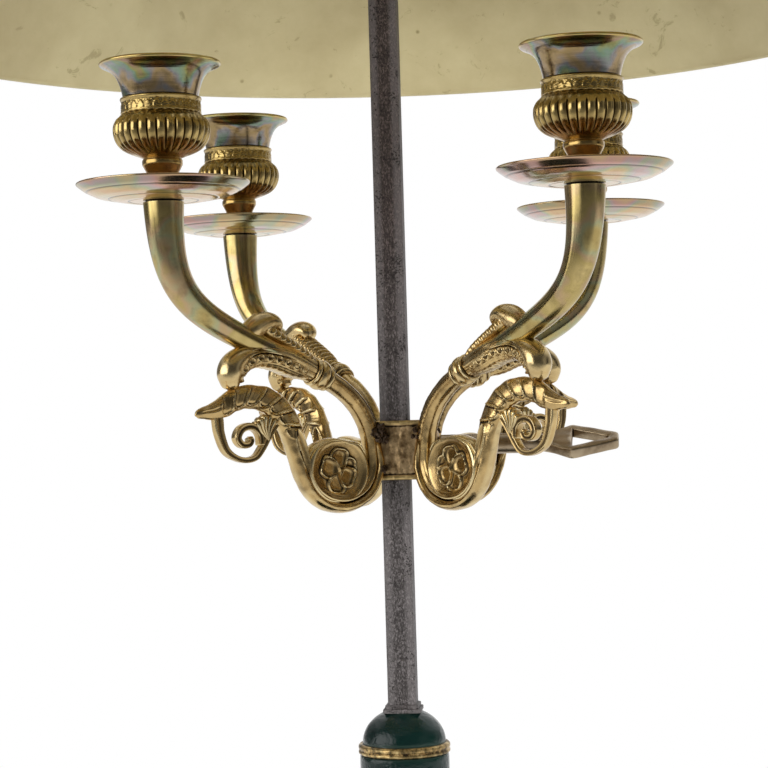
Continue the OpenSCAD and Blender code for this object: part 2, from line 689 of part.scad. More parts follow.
module shade_wires() {
    color(iron) for (z = [shade_z, shade_top_z])
        rotate_extrude() translate([shade_r(z) + roll_out, z]) circle(d = wire_d, $fn = 24);
}

module shade_spider() {
    inside = -shade_t / 2 - gap;
    strip_x1 = shade_r(strip_z + strip_t) + inside - strip_t * 0.6;
    color(iron) for (a = [0 : 90 : 270]) rotate([0, 0, a]) difference() {
        strip_x0 = sleeve_half + sleeve_x * cos(a);
        union() {
            translate([strip_x0, -strip_w / 2, strip_z]) cube([strip_x1 - strip_x0, strip_w, strip_t]);
            intersection() {
                cone_sheet(inside - strip_t, inside, strip_z + strip_t - tab_h, strip_z + strip_t);
                translate([0, -strip_w / 2, shade_z]) cube([shade_d, strip_w, shade_h]);
            }
        }
        at_rivet() rivet_shank(rivet_d + 2 * gap, reach_over);
    }
}

// Places its child at the middle of a tab's rivet, with +Z square to the sheet and outwards.
module at_rivet() {
    z = strip_z + strip_t - tab_h * 0.6;
    translate([shade_r(z), 0, z]) rotate([0, 90 - atan(shade_lean), 0]) children();
}

// A rivet's shank through wall and tab, longer by `extra` at each end.
module rivet_shank(d, extra = 0) {
    translate([0, 0, -shade_t / 2 - strip_t - 2 * gap - extra])
        cylinder(d = d, h = shade_t + strip_t + 3 * gap + 2 * extra);
}

module spider_rivets() {
    head_h = rivet_d * 0.3;
    color(iron) for (a = [0 : 90 : 270]) rotate([0, 0, a]) at_rivet() {
        rivet_shank(rivet_d);
        translate([0, 0, shade_t / 2 + gap]) cylinder(d = rivet_d * 1.8, h = head_h);
        translate([0, 0, -shade_t / 2 - strip_t - 2 * gap - head_h]) cylinder(d = rivet_d * 1.8, h = head_h);
    }
}

module shade_sleeve() { color("#5a4426") sliding_sleeve(shade_sleeve_h, shade_sleeve_z + shade_sleeve_h / 2, shade_screw_z); }
module shade_pad() { color(brass) clamp_pad(shade_screw_z); }
module shade_key() { color("#6b5a45") hand_screw(shade_screw_z); }

// ---------------------------------------------------------------- one line per node

base_felt();
base_plate();
base_weight();
base_dish();
dish_rim_band();
column_ring();
column();
dome_ring();
dome_cap();
stem_flange();
stem();
stem_washer();
stem_nut();
finial();
carry_ring();
arm_sleeve();
arm_pad();
arm_key();
for (i = [1 : 4]) {
    arm_scroll(i);
    leaf_cup(i);
    arm_horn(i);
    drip_pan(i);
    candle_cup(i);
    candle_liner(i);
}
cup_studs();
shade_wall();
shade_wires();
shade_spider();
spider_rivets();
shade_sleeve();
shade_pad();
shade_key();
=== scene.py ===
import math
from functools import partial

import bpy
import numpy as np
from mathutils import Matrix, Vector


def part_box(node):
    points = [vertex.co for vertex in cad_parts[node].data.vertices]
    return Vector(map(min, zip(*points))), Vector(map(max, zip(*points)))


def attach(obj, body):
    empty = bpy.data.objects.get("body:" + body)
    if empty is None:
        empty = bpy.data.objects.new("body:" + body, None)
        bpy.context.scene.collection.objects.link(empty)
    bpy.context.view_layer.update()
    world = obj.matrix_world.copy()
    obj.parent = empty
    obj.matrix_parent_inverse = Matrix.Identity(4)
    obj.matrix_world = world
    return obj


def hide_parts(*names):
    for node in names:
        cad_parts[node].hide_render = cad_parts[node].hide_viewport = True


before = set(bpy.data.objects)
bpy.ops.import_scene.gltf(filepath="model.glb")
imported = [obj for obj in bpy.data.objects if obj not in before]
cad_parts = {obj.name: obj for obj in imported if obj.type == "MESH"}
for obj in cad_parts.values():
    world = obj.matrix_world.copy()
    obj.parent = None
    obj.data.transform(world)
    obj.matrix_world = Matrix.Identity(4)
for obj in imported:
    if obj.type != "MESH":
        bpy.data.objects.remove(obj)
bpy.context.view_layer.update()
print("frame loaded:", len(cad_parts), "nodes")

tau = 2 * math.pi


# Places of the pieces, in millimetres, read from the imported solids.
def nodeBox(node):
    low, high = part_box(node)
    return np.array(low) * 1000, np.array(high) * 1000


def middleHeight(node):
    low, high = nodeBox(node)
    return float((low[2] + high[2]) / 2)


panMiddles = [sum(nodeBox(f"drip_pan_{i}")) / 2 for i in range(1, 5)]
hub = sum(panMiddles) / 4
sleeveZ = middleHeight("arm_sleeve")
seatZ = float(nodeBox("drip_pan_1")[0][2])


# Turns branch coordinates (out from the sleeve, across, up) about the stem to branch number i.
def atBranch(i):
    turn = math.radians(90 * i - 45)
    c, s = math.cos(turn), math.sin(turn)

    def placed(p):
        return np.stack([hub[0] + p[..., 0] * c - p[..., 1] * s, p[..., 0] * s + p[..., 1] * c,
                         sleeveZ + p[..., 2]], -1)
    return placed


# Moves a turned piece from the axis to the seat of branch number i.
def atSeat(i):
    middle = panMiddles[i - 1]
    return lambda p: p + np.array([middle[0], middle[1], seatZ])


# Mesh making: every surface is a grid of points, with rows along it and columns around it.

# Catmull-Rom curve through the rows of controls, read off at even steps of its length in the first two columns.
def smoothPath(controls, count):
    p = np.asarray(controls, float)
    p = np.vstack([2 * p[0] - p[1], p, 2 * p[-1] - p[-2]])
    t = np.linspace(0, len(p) - 3 - 1e-9, 48 * (len(p) - 3))
    i = t.astype(int)
    f = (t - i)[:, None]
    a, b, c, d = p[i], p[i + 1], p[i + 2], p[i + 3]
    q = 0.5 * (2 * b + (c - a) * f + (2 * a - 5 * b + 4 * c - d) * f ** 2 + (3 * b - a - 3 * c + d) * f ** 3)
    length = np.r_[0, np.cumsum(np.hypot(*np.diff(q[:, :2], axis=0).T))]
    even = np.linspace(0, length[-1], count)
    return np.stack([np.interp(even, length, column) for column in q.T], -1), even


# Unit normal of a plane path: its direction turned a quarter turn to the left.
def leftOf(path):
    d = np.gradient(path[:, :2], axis=0)
    d /= np.hypot(*d.T)[:, None] + 1e-12
    return np.stack([-d[:, 1], d[:, 0]], -1)


# A section carried along a plane path: point = path + left normal * inPlane, with `across` out of the plane.
def carried(path, inPlane, across):
    n = leftOf(path)
    return np.stack([path[:, 0, None] + n[:, 0, None] * inPlane, across,
                     path[:, 1, None] + n[:, 1, None] * inPlane], -1)


# Turned surface: each profile point (radius, height) goes round the axis, with `grow` added to the radius.
def turned(profile, columns, grow=0.0):
    profile = np.asarray(profile, float)
    angle = np.arange(columns) * tau / columns
    radius = np.maximum(profile[:, 0, None] + grow, 0.001)
    return np.stack([radius * np.cos(angle), radius * np.sin(angle), profile[:, 1, None] + 0 * angle], -1)


# Profile through the given corners with each corner rounded: the corner list is subdivided and then averaged.
def softProfile(corners, step=0.3, rounds=3):
    p = np.asarray(corners, float)
    pieces = []
    for a, b in zip(p[:-1], p[1:]):
        n = max(2, int(math.ceil(np.hypot(*(b - a)) / step)))
        pieces.append(a + (b - a) * np.arange(n)[:, None] / n)
    q = np.vstack(pieces + [p[-1:]])
    for _ in range(rounds):
        q[1:-1] = 0.25 * q[:-2] + 0.5 * q[1:-1] + 0.25 * q[2:]
    return q


# Rounded square ring: the p-norm of (x / halfX, y / halfY) is one; a large power gives a sharp corner.
def squareRing(halfX, halfY, power, columns, middle=(0, 0)):
    angle = (np.arange(columns) + 0.5) * tau / columns
    gather = 0.55  # draws the columns towards the corners
    angle = angle - 0.25 * np.sin(4 * angle) * gather
    c, s = np.cos(angle), np.sin(angle)
    r = (np.abs(c / halfX) ** power + np.abs(s / halfY) ** power) ** (-1 / power)
    return np.stack([middle[0] + r * c, middle[1] + r * s], -1)


# Smooth wander without seams: a sum of sine waves in fixed directions, about -1..1.
def wander(points, size, seed):
    rng = np.random.default_rng(seed)
    waves = 9
    total = 0
    for _ in range(waves):
        d = rng.normal(size=3)
        d *= rng.uniform(0.6, 1.5) / np.linalg.norm(d) * tau / size
        total = total + np.sin(points @ d + rng.uniform(0, tau))
    return total / math.sqrt(waves) / 1.2


# One surface, closed around its columns and, if `along`, end to end too; its material may read the tone.
def part(points, along=False, tone=0.0):
    return {"points": np.asarray(points, float), "along": along, "tone": tone}


# Unit normals of a grid from the cross product of its two directions.
def gridNormals(p, along):
    du = np.roll(p, -1, 1) - np.roll(p, 1, 1)
    dv = np.roll(p, -1, 0) - np.roll(p, 1, 0) if along else np.gradient(p, axis=0)
    n = np.cross(du, dv)
    return n / (np.linalg.norm(n, axis=-1, keepdims=True) + 1e-12)


# Depth of each point under the mean of its neighbourhood, in mm: positive in hollows, where dirt stays.
def hollowOf(p, normals, along):
    q = p.copy()
    spreads = 10  # how often a point is averaged with its neighbours
    for _ in range(spreads):
        side = np.roll(q, 1, 1) + np.roll(q, -1, 1)
        rows = np.roll(q, 1, 0) + np.roll(q, -1, 0) if along else \
            np.concatenate([q[:1], q[:-1]]) + np.concatenate([q[1:], q[-1:]])
        q = 0.5 * q + 0.125 * (side + rows)
    return ((q - p) * normals).sum(-1)


# Six times the volume inside the quads: negative if they face inwards.
def signedVolume(p, faces):
    v = p.reshape(-1, 3)
    a, b, c, d = (v[faces[:, k]] for k in range(4))
    return float((np.cross(a, b) * c).sum() + (np.cross(a, c) * d).sum())


# Builds one object from its parts, puts it in place, hangs it on the empty of the body it rides on, and hides
# the solid it replaces.
def makePiece(name, parts, finish, body, node, place=None):
    verts, corners, totals, uvs, hollow, tone = [], [], [], [], [], []
    base = 0
    for item in parts:
        p, along = item["points"], item["along"]
        n, m = p.shape[:2]
        i, j = np.arange(n if along else n - 1), np.arange(m)
        row, nextRow, j2 = i[:, None] * m, (i[:, None] + 1) % n * m, (j + 1) % m
        quads = np.stack([row + j, row + j2, nextRow + j2, nextRow + j], -1).reshape(-1, 4)
        # UV in millimetres: across the columns by their mean width, along the rows by their mean distance.
        runs = np.r_[0, np.cumsum(np.linalg.norm(np.diff(p, axis=0), axis=-1).mean(1))]
        runs = np.r_[runs, runs[-1] + (runs[-1] / max(n - 1, 1))]
        width = np.linalg.norm(np.roll(p, -1, 1) - p, axis=-1).sum(1).mean() / m
        uv = np.stack(np.broadcast_arrays(
            np.stack([j, j + 1, j + 1, j], -1)[None] * width,
            np.stack([runs[i], runs[i], runs[i + 1], runs[i + 1]], -1)[:, None]), -1).reshape(-1, 4, 2)
        flip = signedVolume(p - p.reshape(-1, 3).mean(0), quads) < 0
        if flip:
            quads, uv = quads[:, ::-1], uv[:, ::-1]
        normals = gridNormals(p, along) * (-1.0 if flip else 1.0)
        tones = np.broadcast_to(item["tone"], (n, m))
        verts.append(p.reshape(-1, 3))
        hollow.append(hollowOf(p, normals, along).ravel())
        tone.append(tones.ravel())
        corners.append((quads + base).ravel())
        totals.append(np.full(len(quads), 4))
        uvs.append(uv.reshape(-1, 2))
        count = n * m
        # Open ends are closed by a fan of triangles around a middle point.
        for end in () if along else (0, n - 1):
            ring = end * m + np.arange(m)
            fan = np.stack([np.full(m, count), np.roll(ring, -1), ring], -1)
            if (end != 0) != flip:
                fan = fan[:, ::-1]
            verts.append(p[end].mean(0)[None])
            hollow.append(np.zeros(1))
            tone.append(tones[end, :1])
            corners.append((fan + base).ravel())
            totals.append(np.full(m, 3))
            uvs.append(np.full((3 * m, 2), runs[end]))
            count += 1
        base += count
    points = np.vstack(verts)
    if place is not None:
        points = place(points)
    corners, totals = np.concatenate(corners), np.concatenate(totals)
    mesh = bpy.data.meshes.new(name)
    mesh.vertices.add(len(points))
    mesh.vertices.foreach_set("co", (points / 1000).astype(np.float32).ravel())
    mesh.loops.add(len(corners))
    mesh.loops.foreach_set("vertex_index", corners.astype(np.int32))
    mesh.polygons.add(len(totals))
    mesh.polygons.foreach_set("loop_start", np.r_[0, np.cumsum(totals)[:-1]].astype(np.int32))
    mesh.update(calc_edges=True)
    mesh.uv_layers.new(name="grain").data.foreach_set("uv", np.vstack(uvs).astype(np.float32).ravel())
    for label, values in (("hollow", hollow), ("tone", tone)):
        values = np.concatenate(values).astype(np.float32)
        mesh.attributes.new(label, "FLOAT", "POINT").data.foreach_set("value", values)
    mesh.shade_smooth()
    mesh.set_sharp_from_angle(angle=math.radians(55))
    mesh.materials.append(skins[finish])
    piece = bpy.data.objects.new(name, mesh)
    bpy.context.scene.collection.objects.link(piece)
    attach(piece, body)
    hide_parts(node)


# Materials.

# sRGB hex to linear RGBA.
def colour(code):
    raw = [int(code[k:k + 2], 16) / 255 for k in (1, 3, 5)]
    return [c / 12.92 if c <= 0.04045 else ((c + 0.055) / 1.055) ** 2.4 for c in raw] + [1.0]


# A socket is linked to its input, anything else becomes its value; From and To take both ends of a range.
def setInputs(tree, node, inputs):
    for key, value in inputs.items():
        if key in ("From", "To"):
            setInputs(tree, node, {key + " Min": value[0], key + " Max": value[1]})
        elif isinstance(value, bpy.types.NodeSocket):
            tree.links.new(value, node.inputs[key])
        else:
            node.inputs[key].default_value = value


# Adds a node with its settings, ramp stops and inputs; returns one output, or all of them if give is None.
def addNode(tree, kind, inputs, give=0, stops=None, **settings):
    node = tree.nodes.new("ShaderNode" + kind)
    for key, value in settings.items():
        setattr(node, key, value)
    if stops:
        ramp = node.color_ramp
        while len(ramp.elements) > 1:
            ramp.elements.remove(ramp.elements[-1])
        ramp.elements[0].position, ramp.elements[0].color = stops[0]
        for position, value in stops[1:]:
            ramp.elements.new(position).color = value
    setInputs(tree, node, inputs)
    return node.outputs if give is None else node.outputs[give]


# A new material, with one function that adds nodes to it and one that sets the inputs of its shader.
def newSkin(name):
    skin = bpy.data.materials.new(name)
    skin.use_nodes = True
    tree = skin.node_tree
    return skin, partial(addNode, tree), partial(setInputs, tree, tree.nodes["Principled BSDF"])


# A Mix node for colours gives its result on the third output, and takes its two colours on inputs 6 and 7.
rgba = {"give": 2, "data_type": "RGBA"}

# Values at which each pattern of the patina begins and is full; the noise under them mostly gives 0.3 to 0.7.
patina = {"clouds": (0.35, 0.68), "mottleDark": (0.52, 0.38), "mottleLight": (0.52, 0.66), "upperBrownShare": (0, 0.8),
          "stain": (0.62, 0.75), "stainSpread": 0.2, "specks": (0.64, 0.74), "pitField": 9, "pitShare": 0.55,
          "pits": (0.86, 0.97), "pitDepth": (0, 0.85), "edge": (-0.02, -0.1), "wobble": (-0.06, 0.06)}


# Metal or paint with patina: one recipe that every finish below sets up with its own values.
# clean, tint: base colours mixed by slow clouds; dirt: colour in hollows and stains; worn: colour of edges.
# Optional are toned (colour where the tone is 1), mottle (fine dark and light flecks), pits, and a darker brown
# tint above a height.
def weathered(name, user):
    skin, add, shade = newSkin(name)
    still = place = add("TexCoord", {}, "Object")
    if "stretch" in user:
        place = add("Mapping", {"Vector": place, "Scale": user["stretch"]})
    clouds = add("TexNoise", {"Vector": place, "Scale": 1000 / user["cloudMm"], "Detail": 5.0,
                              "Roughness": 0.6})
    grains = add("TexNoise", {"Vector": place, "Scale": 1000 / user["grainMm"], "Detail": 4.0,
                              "Roughness": 0.65})
    hollow = add("Attribute", {}, "Fac", attribute_name="hollow")
    mixTone = add("MapRange", {"Value": clouds, "From": patina["clouds"]})
    base = add("Mix", {"Factor": mixTone, 6: colour(user["clean"]), 7: colour(user["tint"])}, **rgba)
    if "mottleMm" in user:
        fleck = add("TexNoise", {"Vector": place, "Scale": 1000 / user["mottleMm"], "Detail": 3.0,
                                 "Roughness": 0.7})
        for limits, shown in (("mottleDark", "dirt"), ("mottleLight", "worn")):
            share = add("MapRange", {"Value": fleck, "From": patina[limits], "To": (0, user["mottle"])})
            base = add("Mix", {"Factor": share, 6: base, 7: colour(user[shown])}, **rgba)
    # Above a given height the colour is multiplied darker and browner.
    if "upperBrown" in user:
        height = add("SeparateXYZ", {"Vector": still}, 2)
        high = add("MapRange", {"Value": height, "From": [z / 1000 for z in user["upperBrownMm"]],
                                "To": patina["upperBrownShare"]})
        base = add("Mix", {"Factor": high, 6: base, 7: colour(user["upperBrown"])}, blend_type="MULTIPLY", **rgba)
    low, high = patina["stain"]
    stain = add("MapRange", {"Value": clouds, "From": (low - user["stains"] * patina["stainSpread"], high)})
    stain = add("Math", {0: stain, 1: user["stains"]}, operation="MULTIPLY")
    speck = add("MapRange", {"Value": grains, "From": patina["specks"], "To": (0, user["specks"])})
    marks = [stain, speck]
    if "pitMm" in user:
        spot = add("TexNoise", {"Vector": still, "Scale": 1000 / user["pitMm"], "Detail": 2.0,
                                "Roughness": 0.55})
        fieldMm = user["pitMm"] * patina["pitField"]
        field = add("TexNoise", {"Vector": still, "Scale": 1000 / fieldMm, "Detail": 2.0})
        spot = add("Math", {0: field, 1: patina["pitShare"], 2: spot}, operation="MULTIPLY_ADD")
        marks.append(add("MapRange", {"Value": spot, "From": patina["pits"], "To": patina["pitDepth"]}))
    dirt = add("MapRange", {"Value": hollow, "From": user["hollowMm"]})
    for mark in marks:
        dirt = add("Math", {0: dirt, 1: mark}, operation="MAXIMUM")
    edge = [extra - depth for extra, depth in zip(patina["edge"], user["hollowMm"])]
    worn = add("MapRange", {"Value": hollow, "From": edge, "To": (0, user["wear"])})
    shown = add("Mix", {"Factor": worn, 6: base, 7: colour(user["worn"])}, **rgba)
    if "toned" in user:
        tone = add("Attribute", {}, "Fac", attribute_name="tone")
        shown = add("Mix", {"Factor": tone, 6: shown, 7: colour(user["toned"])}, **rgba)
    shown = add("Mix", {"Factor": dirt, 6: shown, 7: colour(user["dirt"])}, **rgba)
    rough = add("MapRange", {"Value": dirt, "To": user["rough"]})
    wobble = add("MapRange", {"Value": clouds, "To": patina["wobble"]})
    rough = add("Math", {0: rough, 1: wobble}, operation="ADD", use_clamp=True)
    bump = add("Bump", {"Height": grains, "Strength": user["bump"], "Distance": user["grainMm"] / 4000})
    shade({"Metallic": user["metal"], "Base Color": shown, "Roughness": rough, "Normal": bump})
    if "gloss" in user:
        shade({"Specular IOR Level": user["gloss"]})
    return skin


# Where the oxide film, tarnish and turning lines begin and are full, and how far edges are rubbed bright.
oxide = {"film": (0.32, 0.68), "tarnish": (0.5, 0.66), "edge": (-0.08, -0.3), "rubbed": (0, 0.8),
         "lines": (0.3, 0.7)}


# Polished brass that has been heated: bands of pink, violet, blue and green lie in the oxide film. The band
# follows slow clouds and, by bandPerMm, the distance along the profile. Fine lines run round the piece, or
# along it if lengthwise. Dirt lies in hollows and in patches of tarnish. Where the tone is 1 the dirt colour
# is painted shade and reflection, on the horn's neck and the pan's lip, and darkens the pan's grooves.
def heatTinted(name, user):
    skin, add, shade = newSkin(name)
    place = add("TexCoord", {}, "Object")
    grain = add("SeparateXYZ", {"Vector": add("UVMap", {}, uv_map="grain")}, None)
    film = add("TexNoise", {"Vector": place, "Scale": 1000 / user["filmMm"], "Detail": 2.5, "Roughness": 0.5})
    film = add("MapRange", {"Value": film, "From": oxide["film"]})
    band = add("Math", {0: grain[1], 1: user["bandPerMm"]}, operation="MULTIPLY")
    film = add("Math", {0: film, 1: band}, operation="ADD")
    film = add("Math", {0: film, 1: 1.0, 2: 0.0}, operation="PINGPONG")
    rainbow = add("ValToRGB", {"Fac": film}, stops=[(p, colour(c)) for p, c in user["film"]])
    shown = add("Mix", {"Factor": user["filmShare"], 6: colour(user["clean"]), 7: rainbow}, **rgba)
    hollow = add("Attribute", {}, "Fac", attribute_name="hollow")
    depth = add("MapRange", {"Value": hollow, "From": user["hollowMm"]})
    tone = add("Attribute", {}, "Fac", attribute_name="tone")
    tarnish = add("TexNoise", {"Vector": place, "Scale": 1000 / user["tarnishMm"], "Detail": 6.0,
                               "Roughness": 0.7})
    tarnish = add("MapRange", {"Value": tarnish, "From": oxide["tarnish"], "To": (0, user["tarnish"])})
    # Tone 1 is painted shade on the horn's neck and a painted reflection on the pan's lip, with darkened
    # grooves.
    for mark in (tone, tarnish):
        depth = add("Math", {0: depth, 1: mark}, operation="MAXIMUM")
    shown = add("Mix", {"Factor": depth, 6: shown, 7: colour(user["dirt"])}, **rgba)
    worn = add("MapRange", {"Value": hollow, "From": oxide["edge"], "To": oxide["rubbed"]})
    shown = add("Mix", {"Factor": worn, 6: shown, 7: colour(user["worn"])}, **rgba)
    lines = add("CombineXYZ", {"Y": grain[0 if user["lengthwise"] else 1]})
    fine = add("TexNoise", {"Vector": lines, "Scale": 1 / user["lineMm"], "Detail": 3.0})
    rough = add("MapRange", {"Value": fine, "From": oxide["lines"], "To": user["rough"]})
    bump = add("Bump", {"Height": fine, "Strength": user["bump"], "Distance": user["lineMm"] / 5000})
    shade({"Metallic": 1.0, "Base Color": shown, "Roughness": rough, "Normal": bump})
    return skin


skins = {
    # Sand-cast and chased brass: bright on what hands rub, brown where polish and soot stay.
    "castBrass": weathered("chased_cast_brass", {
        "clean": "#caad76", "tint": "#a3895c", "dirt": "#33281b", "worn": "#ecdcae", "stains": 0.35,
        "specks": 0.35, "hollowMm": (0.02, 0.13), "wear": 0.65, "rough": (0.21, 0.46), "cloudMm": 9,
        "grainMm": 0.9, "bump": 0.25, "metal": 1.0}),
    # Pressed and chased cups, a little greener and less worn than the castings.
    "cupBrass": weathered("gadrooned_cup_brass", {
        "clean": "#b9a066", "tint": "#957e4f", "dirt": "#3a2c18", "worn": "#ecd391", "toned": "#ae9058",
        "stains": 0.3, "specks": 0.3, "hollowMm": (0.05, 0.3), "wear": 0.5, "rough": (0.2, 0.42),
        "cloudMm": 7, "grainMm": 0.8, "bump": 0.22, "metal": 1.0}),
    # Filed bronze of the sliding sleeves: mottled dark brown with old solder.
    "sleeveBronze": weathered("filed_dark_bronze", {
        "clean": "#dcbd8f", "tint": "#8e714b", "dirt": "#211a14", "worn": "#d2b67c", "toned": "#5a4b3d",
        "stains": 0.75, "specks": 0.7, "hollowMm": (0.02, 0.12), "wear": 0.9, "rough": (0.38, 0.62),
        "cloudMm": 4, "grainMm": 0.7, "bump": 0.6, "metal": 1.0}),
    # Brown bronze of the hand screws, smoothed by fingers.
    "screwBronze": weathered("hand_worn_bronze", {
        "clean": "#ab9a80", "tint": "#89775f", "dirt": "#45372a", "worn": "#cfbd9c", "stains": 0.35,
        "specks": 0.3, "hollowMm": (0.04, 0.2), "wear": 0.5, "rough": (0.3, 0.5), "cloudMm": 8,
        "grainMm": 0.8, "bump": 0.3, "metal": 1.0}),
    # Drawn iron bar, rust-pitted: the grain runs up the stem, and it is darker and browner above the branches.
    "stemIron": weathered("pitted_iron_bar", {
        "clean": "#423d3c", "tint": "#393534", "dirt": "#181514", "worn": "#757070", "stains": 0.0,
        "specks": 0.3, "hollowMm": (0.05, 0.2), "wear": 0.3, "rough": (0.55, 0.78), "cloudMm": 22,
        "grainMm": 0.9, "bump": 0.4, "metal": 0.2, "stretch": (1.0, 1.0, 0.45), "pitMm": 0.85,
        "mottleMm": 0.42, "mottle": 0.8, "upperBrown": "#d8c0b6", "upperBrownMm": (235, 330)}),
    # Oil-gilded ring, rubbed through to the dark ground in places.
    "wornGilt": weathered("rubbed_gilding", {
        "clean": "#b4935c", "tint": "#7a6038", "dirt": "#1f1912", "worn": "#dcc58c", "stains": 0.9,
        "specks": 1.0, "hollowMm": (0.02, 0.15), "wear": 0.6, "rough": (0.3, 0.6), "cloudMm": 5,
        "grainMm": 1.1, "bump": 0.7, "metal": 0.9, "mottleMm": 2.2, "mottle": 0.95}),
    # Stoved lacquer on sheet iron: nearly black green under a hard gloss.
    "lacquer": weathered("dark_green_lacquer", {
        "clean": "#071c18", "tint": "#051413", "dirt": "#070c0a", "worn": "#2b3a31", "stains": 0.3,
        "specks": 0.12, "hollowMm": (0.05, 0.3), "wear": 0.3, "rough": (0.1, 0.24), "cloudMm": 14,
        "grainMm": 5.0, "bump": 0.5, "metal": 0.0, "gloss": 0.3}),
    # Turned and lacquered brass of the finial, ring and pads.
    "turnedBrass": weathered("turned_brass", {
        "clean": "#b9a26c", "tint": "#9c8654", "dirt": "#3b2f1c", "worn": "#dfce9b", "stains": 0.2,
        "specks": 0.2, "hollowMm": (0.04, 0.25), "wear": 0.5, "rough": (0.2, 0.4), "cloudMm": 10,
        "grainMm": 0.9, "bump": 0.15, "metal": 1.0}),
    # Iron strip and wire, blacked.
    "blackIron": weathered("blackened_iron", {
        "clean": "#45413c", "tint": "#37332f", "dirt": "#221d1a", "worn": "#77706a", "stains": 0.4,
        "specks": 0.6, "hollowMm": (0.05, 0.2), "wear": 0.6, "rough": (0.45, 0.7), "cloudMm": 8,
        "grainMm": 1.0, "bump": 0.4, "metal": 0.7}),
    # Raw cast iron of the ballast: coarse skin.
    "castIron": weathered("raw_cast_iron", {
        "clean": "#4c4a48", "tint": "#3d3a38", "dirt": "#4f3727", "worn": "#6b6866", "stains": 0.5,
        "specks": 0.6, "hollowMm": (0.1, 0.4), "wear": 0.3, "rough": (0.6, 0.8), "cloudMm": 9, "grainMm": 1.4,
        "bump": 0.9, "metal": 0.6}),
    # Turned steel of washer, nut, studs and wires: plain grey with a fine satin.
    "steel": weathered("turned_steel", {
        "clean": "#9b9894", "tint": "#87837e", "dirt": "#4f4843", "worn": "#c6c3bf", "stains": 0.3,
        "specks": 0.3, "hollowMm": (0.1, 0.4), "wear": 0.3, "rough": (0.3, 0.5), "cloudMm": 6, "grainMm": 0.7,
        "bump": 0.2, "metal": 1.0}),
    # Painted tinplate that closes the base: dull dark green.
    "tinplate": weathered("painted_tinplate", {
        "clean": "#2a2e2a", "tint": "#232622", "dirt": "#3a2c20", "worn": "#585a55", "stains": 0.4,
        "specks": 0.3, "hollowMm": (0.1, 0.4), "wear": 0.3, "rough": (0.45, 0.6), "cloudMm": 20,
        "grainMm": 1.5, "bump": 0.2, "metal": 0.2}),
    # Polished tube of the horns, faintly tinted, with lengthwise rubbing marks.
    "hornBrass": heatTinted("polished_horn_brass", {
        "clean": "#c2ae74", "dirt": "#1d1710", "worn": "#d8c48a", "hollowMm": (0.05, 0.3), "filmMm": 15,
        "bandPerMm": 0.0, "filmShare": 0.7, "tarnishMm": 7, "tarnish": 0.28,
        "film": [(0.0, "#c2ac74"), (0.3, "#a8945c"), (0.5, "#ae9176"), (0.68, "#98a183"), (0.84, "#a99a66"),
                 (1.0, "#a08a55")],
        "lineMm": 0.6, "lengthwise": True, "rough": (0.15, 0.27), "bump": 0.12}),
    # Spun brass of the pans: mirror-bright, rose and green.
    "panBrass": heatTinted("spun_pan_brass", {
        "clean": "#d2b998", "dirt": "#2a2219", "worn": "#c8a878", "hollowMm": (0.03, 0.09), "filmMm": 20,
        "bandPerMm": 0.035, "filmShare": 0.85, "tarnishMm": 9, "tarnish": 0.15,
        "film": [(0.0, "#cfae84"), (0.25, "#c79a92"), (0.45, "#b5a3a4"), (0.6, "#a3ad92"), (0.78, "#c6b183"),
                 (1.0, "#cba57c")],
        "lineMm": 0.3, "lengthwise": False, "rough": (0.12, 0.22), "bump": 0.06}),
    # Spun brass of the liners: strong blue, green and violet film.
    "linerBrass": heatTinted("spun_liner_brass", {
        "clean": "#8a7a54", "dirt": "#2f2618", "worn": "#dcc27a", "hollowMm": (0.05, 0.2), "filmMm": 13,
        "bandPerMm": 0.05, "filmShare": 0.75, "tarnishMm": 6, "tarnish": 0.35,
        "film": [(0.0, "#988159"), (0.16, "#a08a6e"), (0.3, "#84868e"), (0.46, "#6f9180"), (0.62, "#8d9058"),
                 (0.8, "#9c7a6c"), (1.0, "#94804e")],
        "lineMm": 0.8, "lengthwise": False, "rough": (0.1, 0.26), "bump": 0.25}),
}
print("metal and lacquer finishes ready:", len(skins))


# The shade's paint: cream within (tone 1) and green lacquer without (tone 0), with age spots and rub marks.
def shadePaint(user):
    skin, add, shade = newSkin("aged_shade_paint")
    place = add("TexCoord", {}, "Object")
    inside = add("Attribute", {}, "Fac", attribute_name="tone")
    cloud = add("TexNoise", {"Vector": place, "Scale": 1000 / user["cloudMm"], "Detail": 6.0, "Roughness": 0.6})
    cloud = add("MapRange", {"Value": cloud, "From": user["clouds"]})
    cream = add("Mix", {"Factor": cloud, 6: colour(user["cream"]), 7: colour(user["creamDark"])}, **rgba)
    spots = add("TexVoronoi", {"Vector": place, "Scale": 1000 / user["spotMm"], "Randomness": 1.0}, "Distance")
    spots = add("MapRange", {"Value": spots, "From": user["spots"]})
    which = add("TexNoise", {"Vector": place, "Scale": 1000 / (user["spotMm"] * user["spotField"]),
                             "Detail": 1.0})
    which = add("MapRange", {"Value": which, "From": user["spotPlaces"]})
    spots = add("Math", {0: spots, 1: which}, operation="MULTIPLY")
    scuff = add("TexNoise", {"Vector": place, "Scale": 1000 / user["scuffMm"], "Detail": 8.0, "Roughness": 0.72,
                             "Distortion": 1.2})
    scuff = add("MapRange", {"Value": scuff, "From": user["scuffs"], "To": (0, user["scuffShare"])})
    stain = add("Math", {0: spots, 1: scuff}, operation="MAXIMUM")
    cream = add("Mix", {"Factor": stain, 6: cream, 7: colour(user["stain"])}, **rgba)
    green = add("Mix", {"Factor": cloud, 6: colour(user["green"]), 7: colour(user["greenDark"])}, **rgba)
    shown = add("Mix", {"Factor": inside, 6: green, 7: cream}, **rgba)
    rough = add("MapRange", {"Value": inside, "To": (user["roughOutside"], user["roughInside"])})
    bump = add("Bump", {"Height": stain, "Strength": 0.25, "Distance": 0.00015})
    shade({"Base Color": shown, "Roughness": rough, "Normal": bump})
    return skin


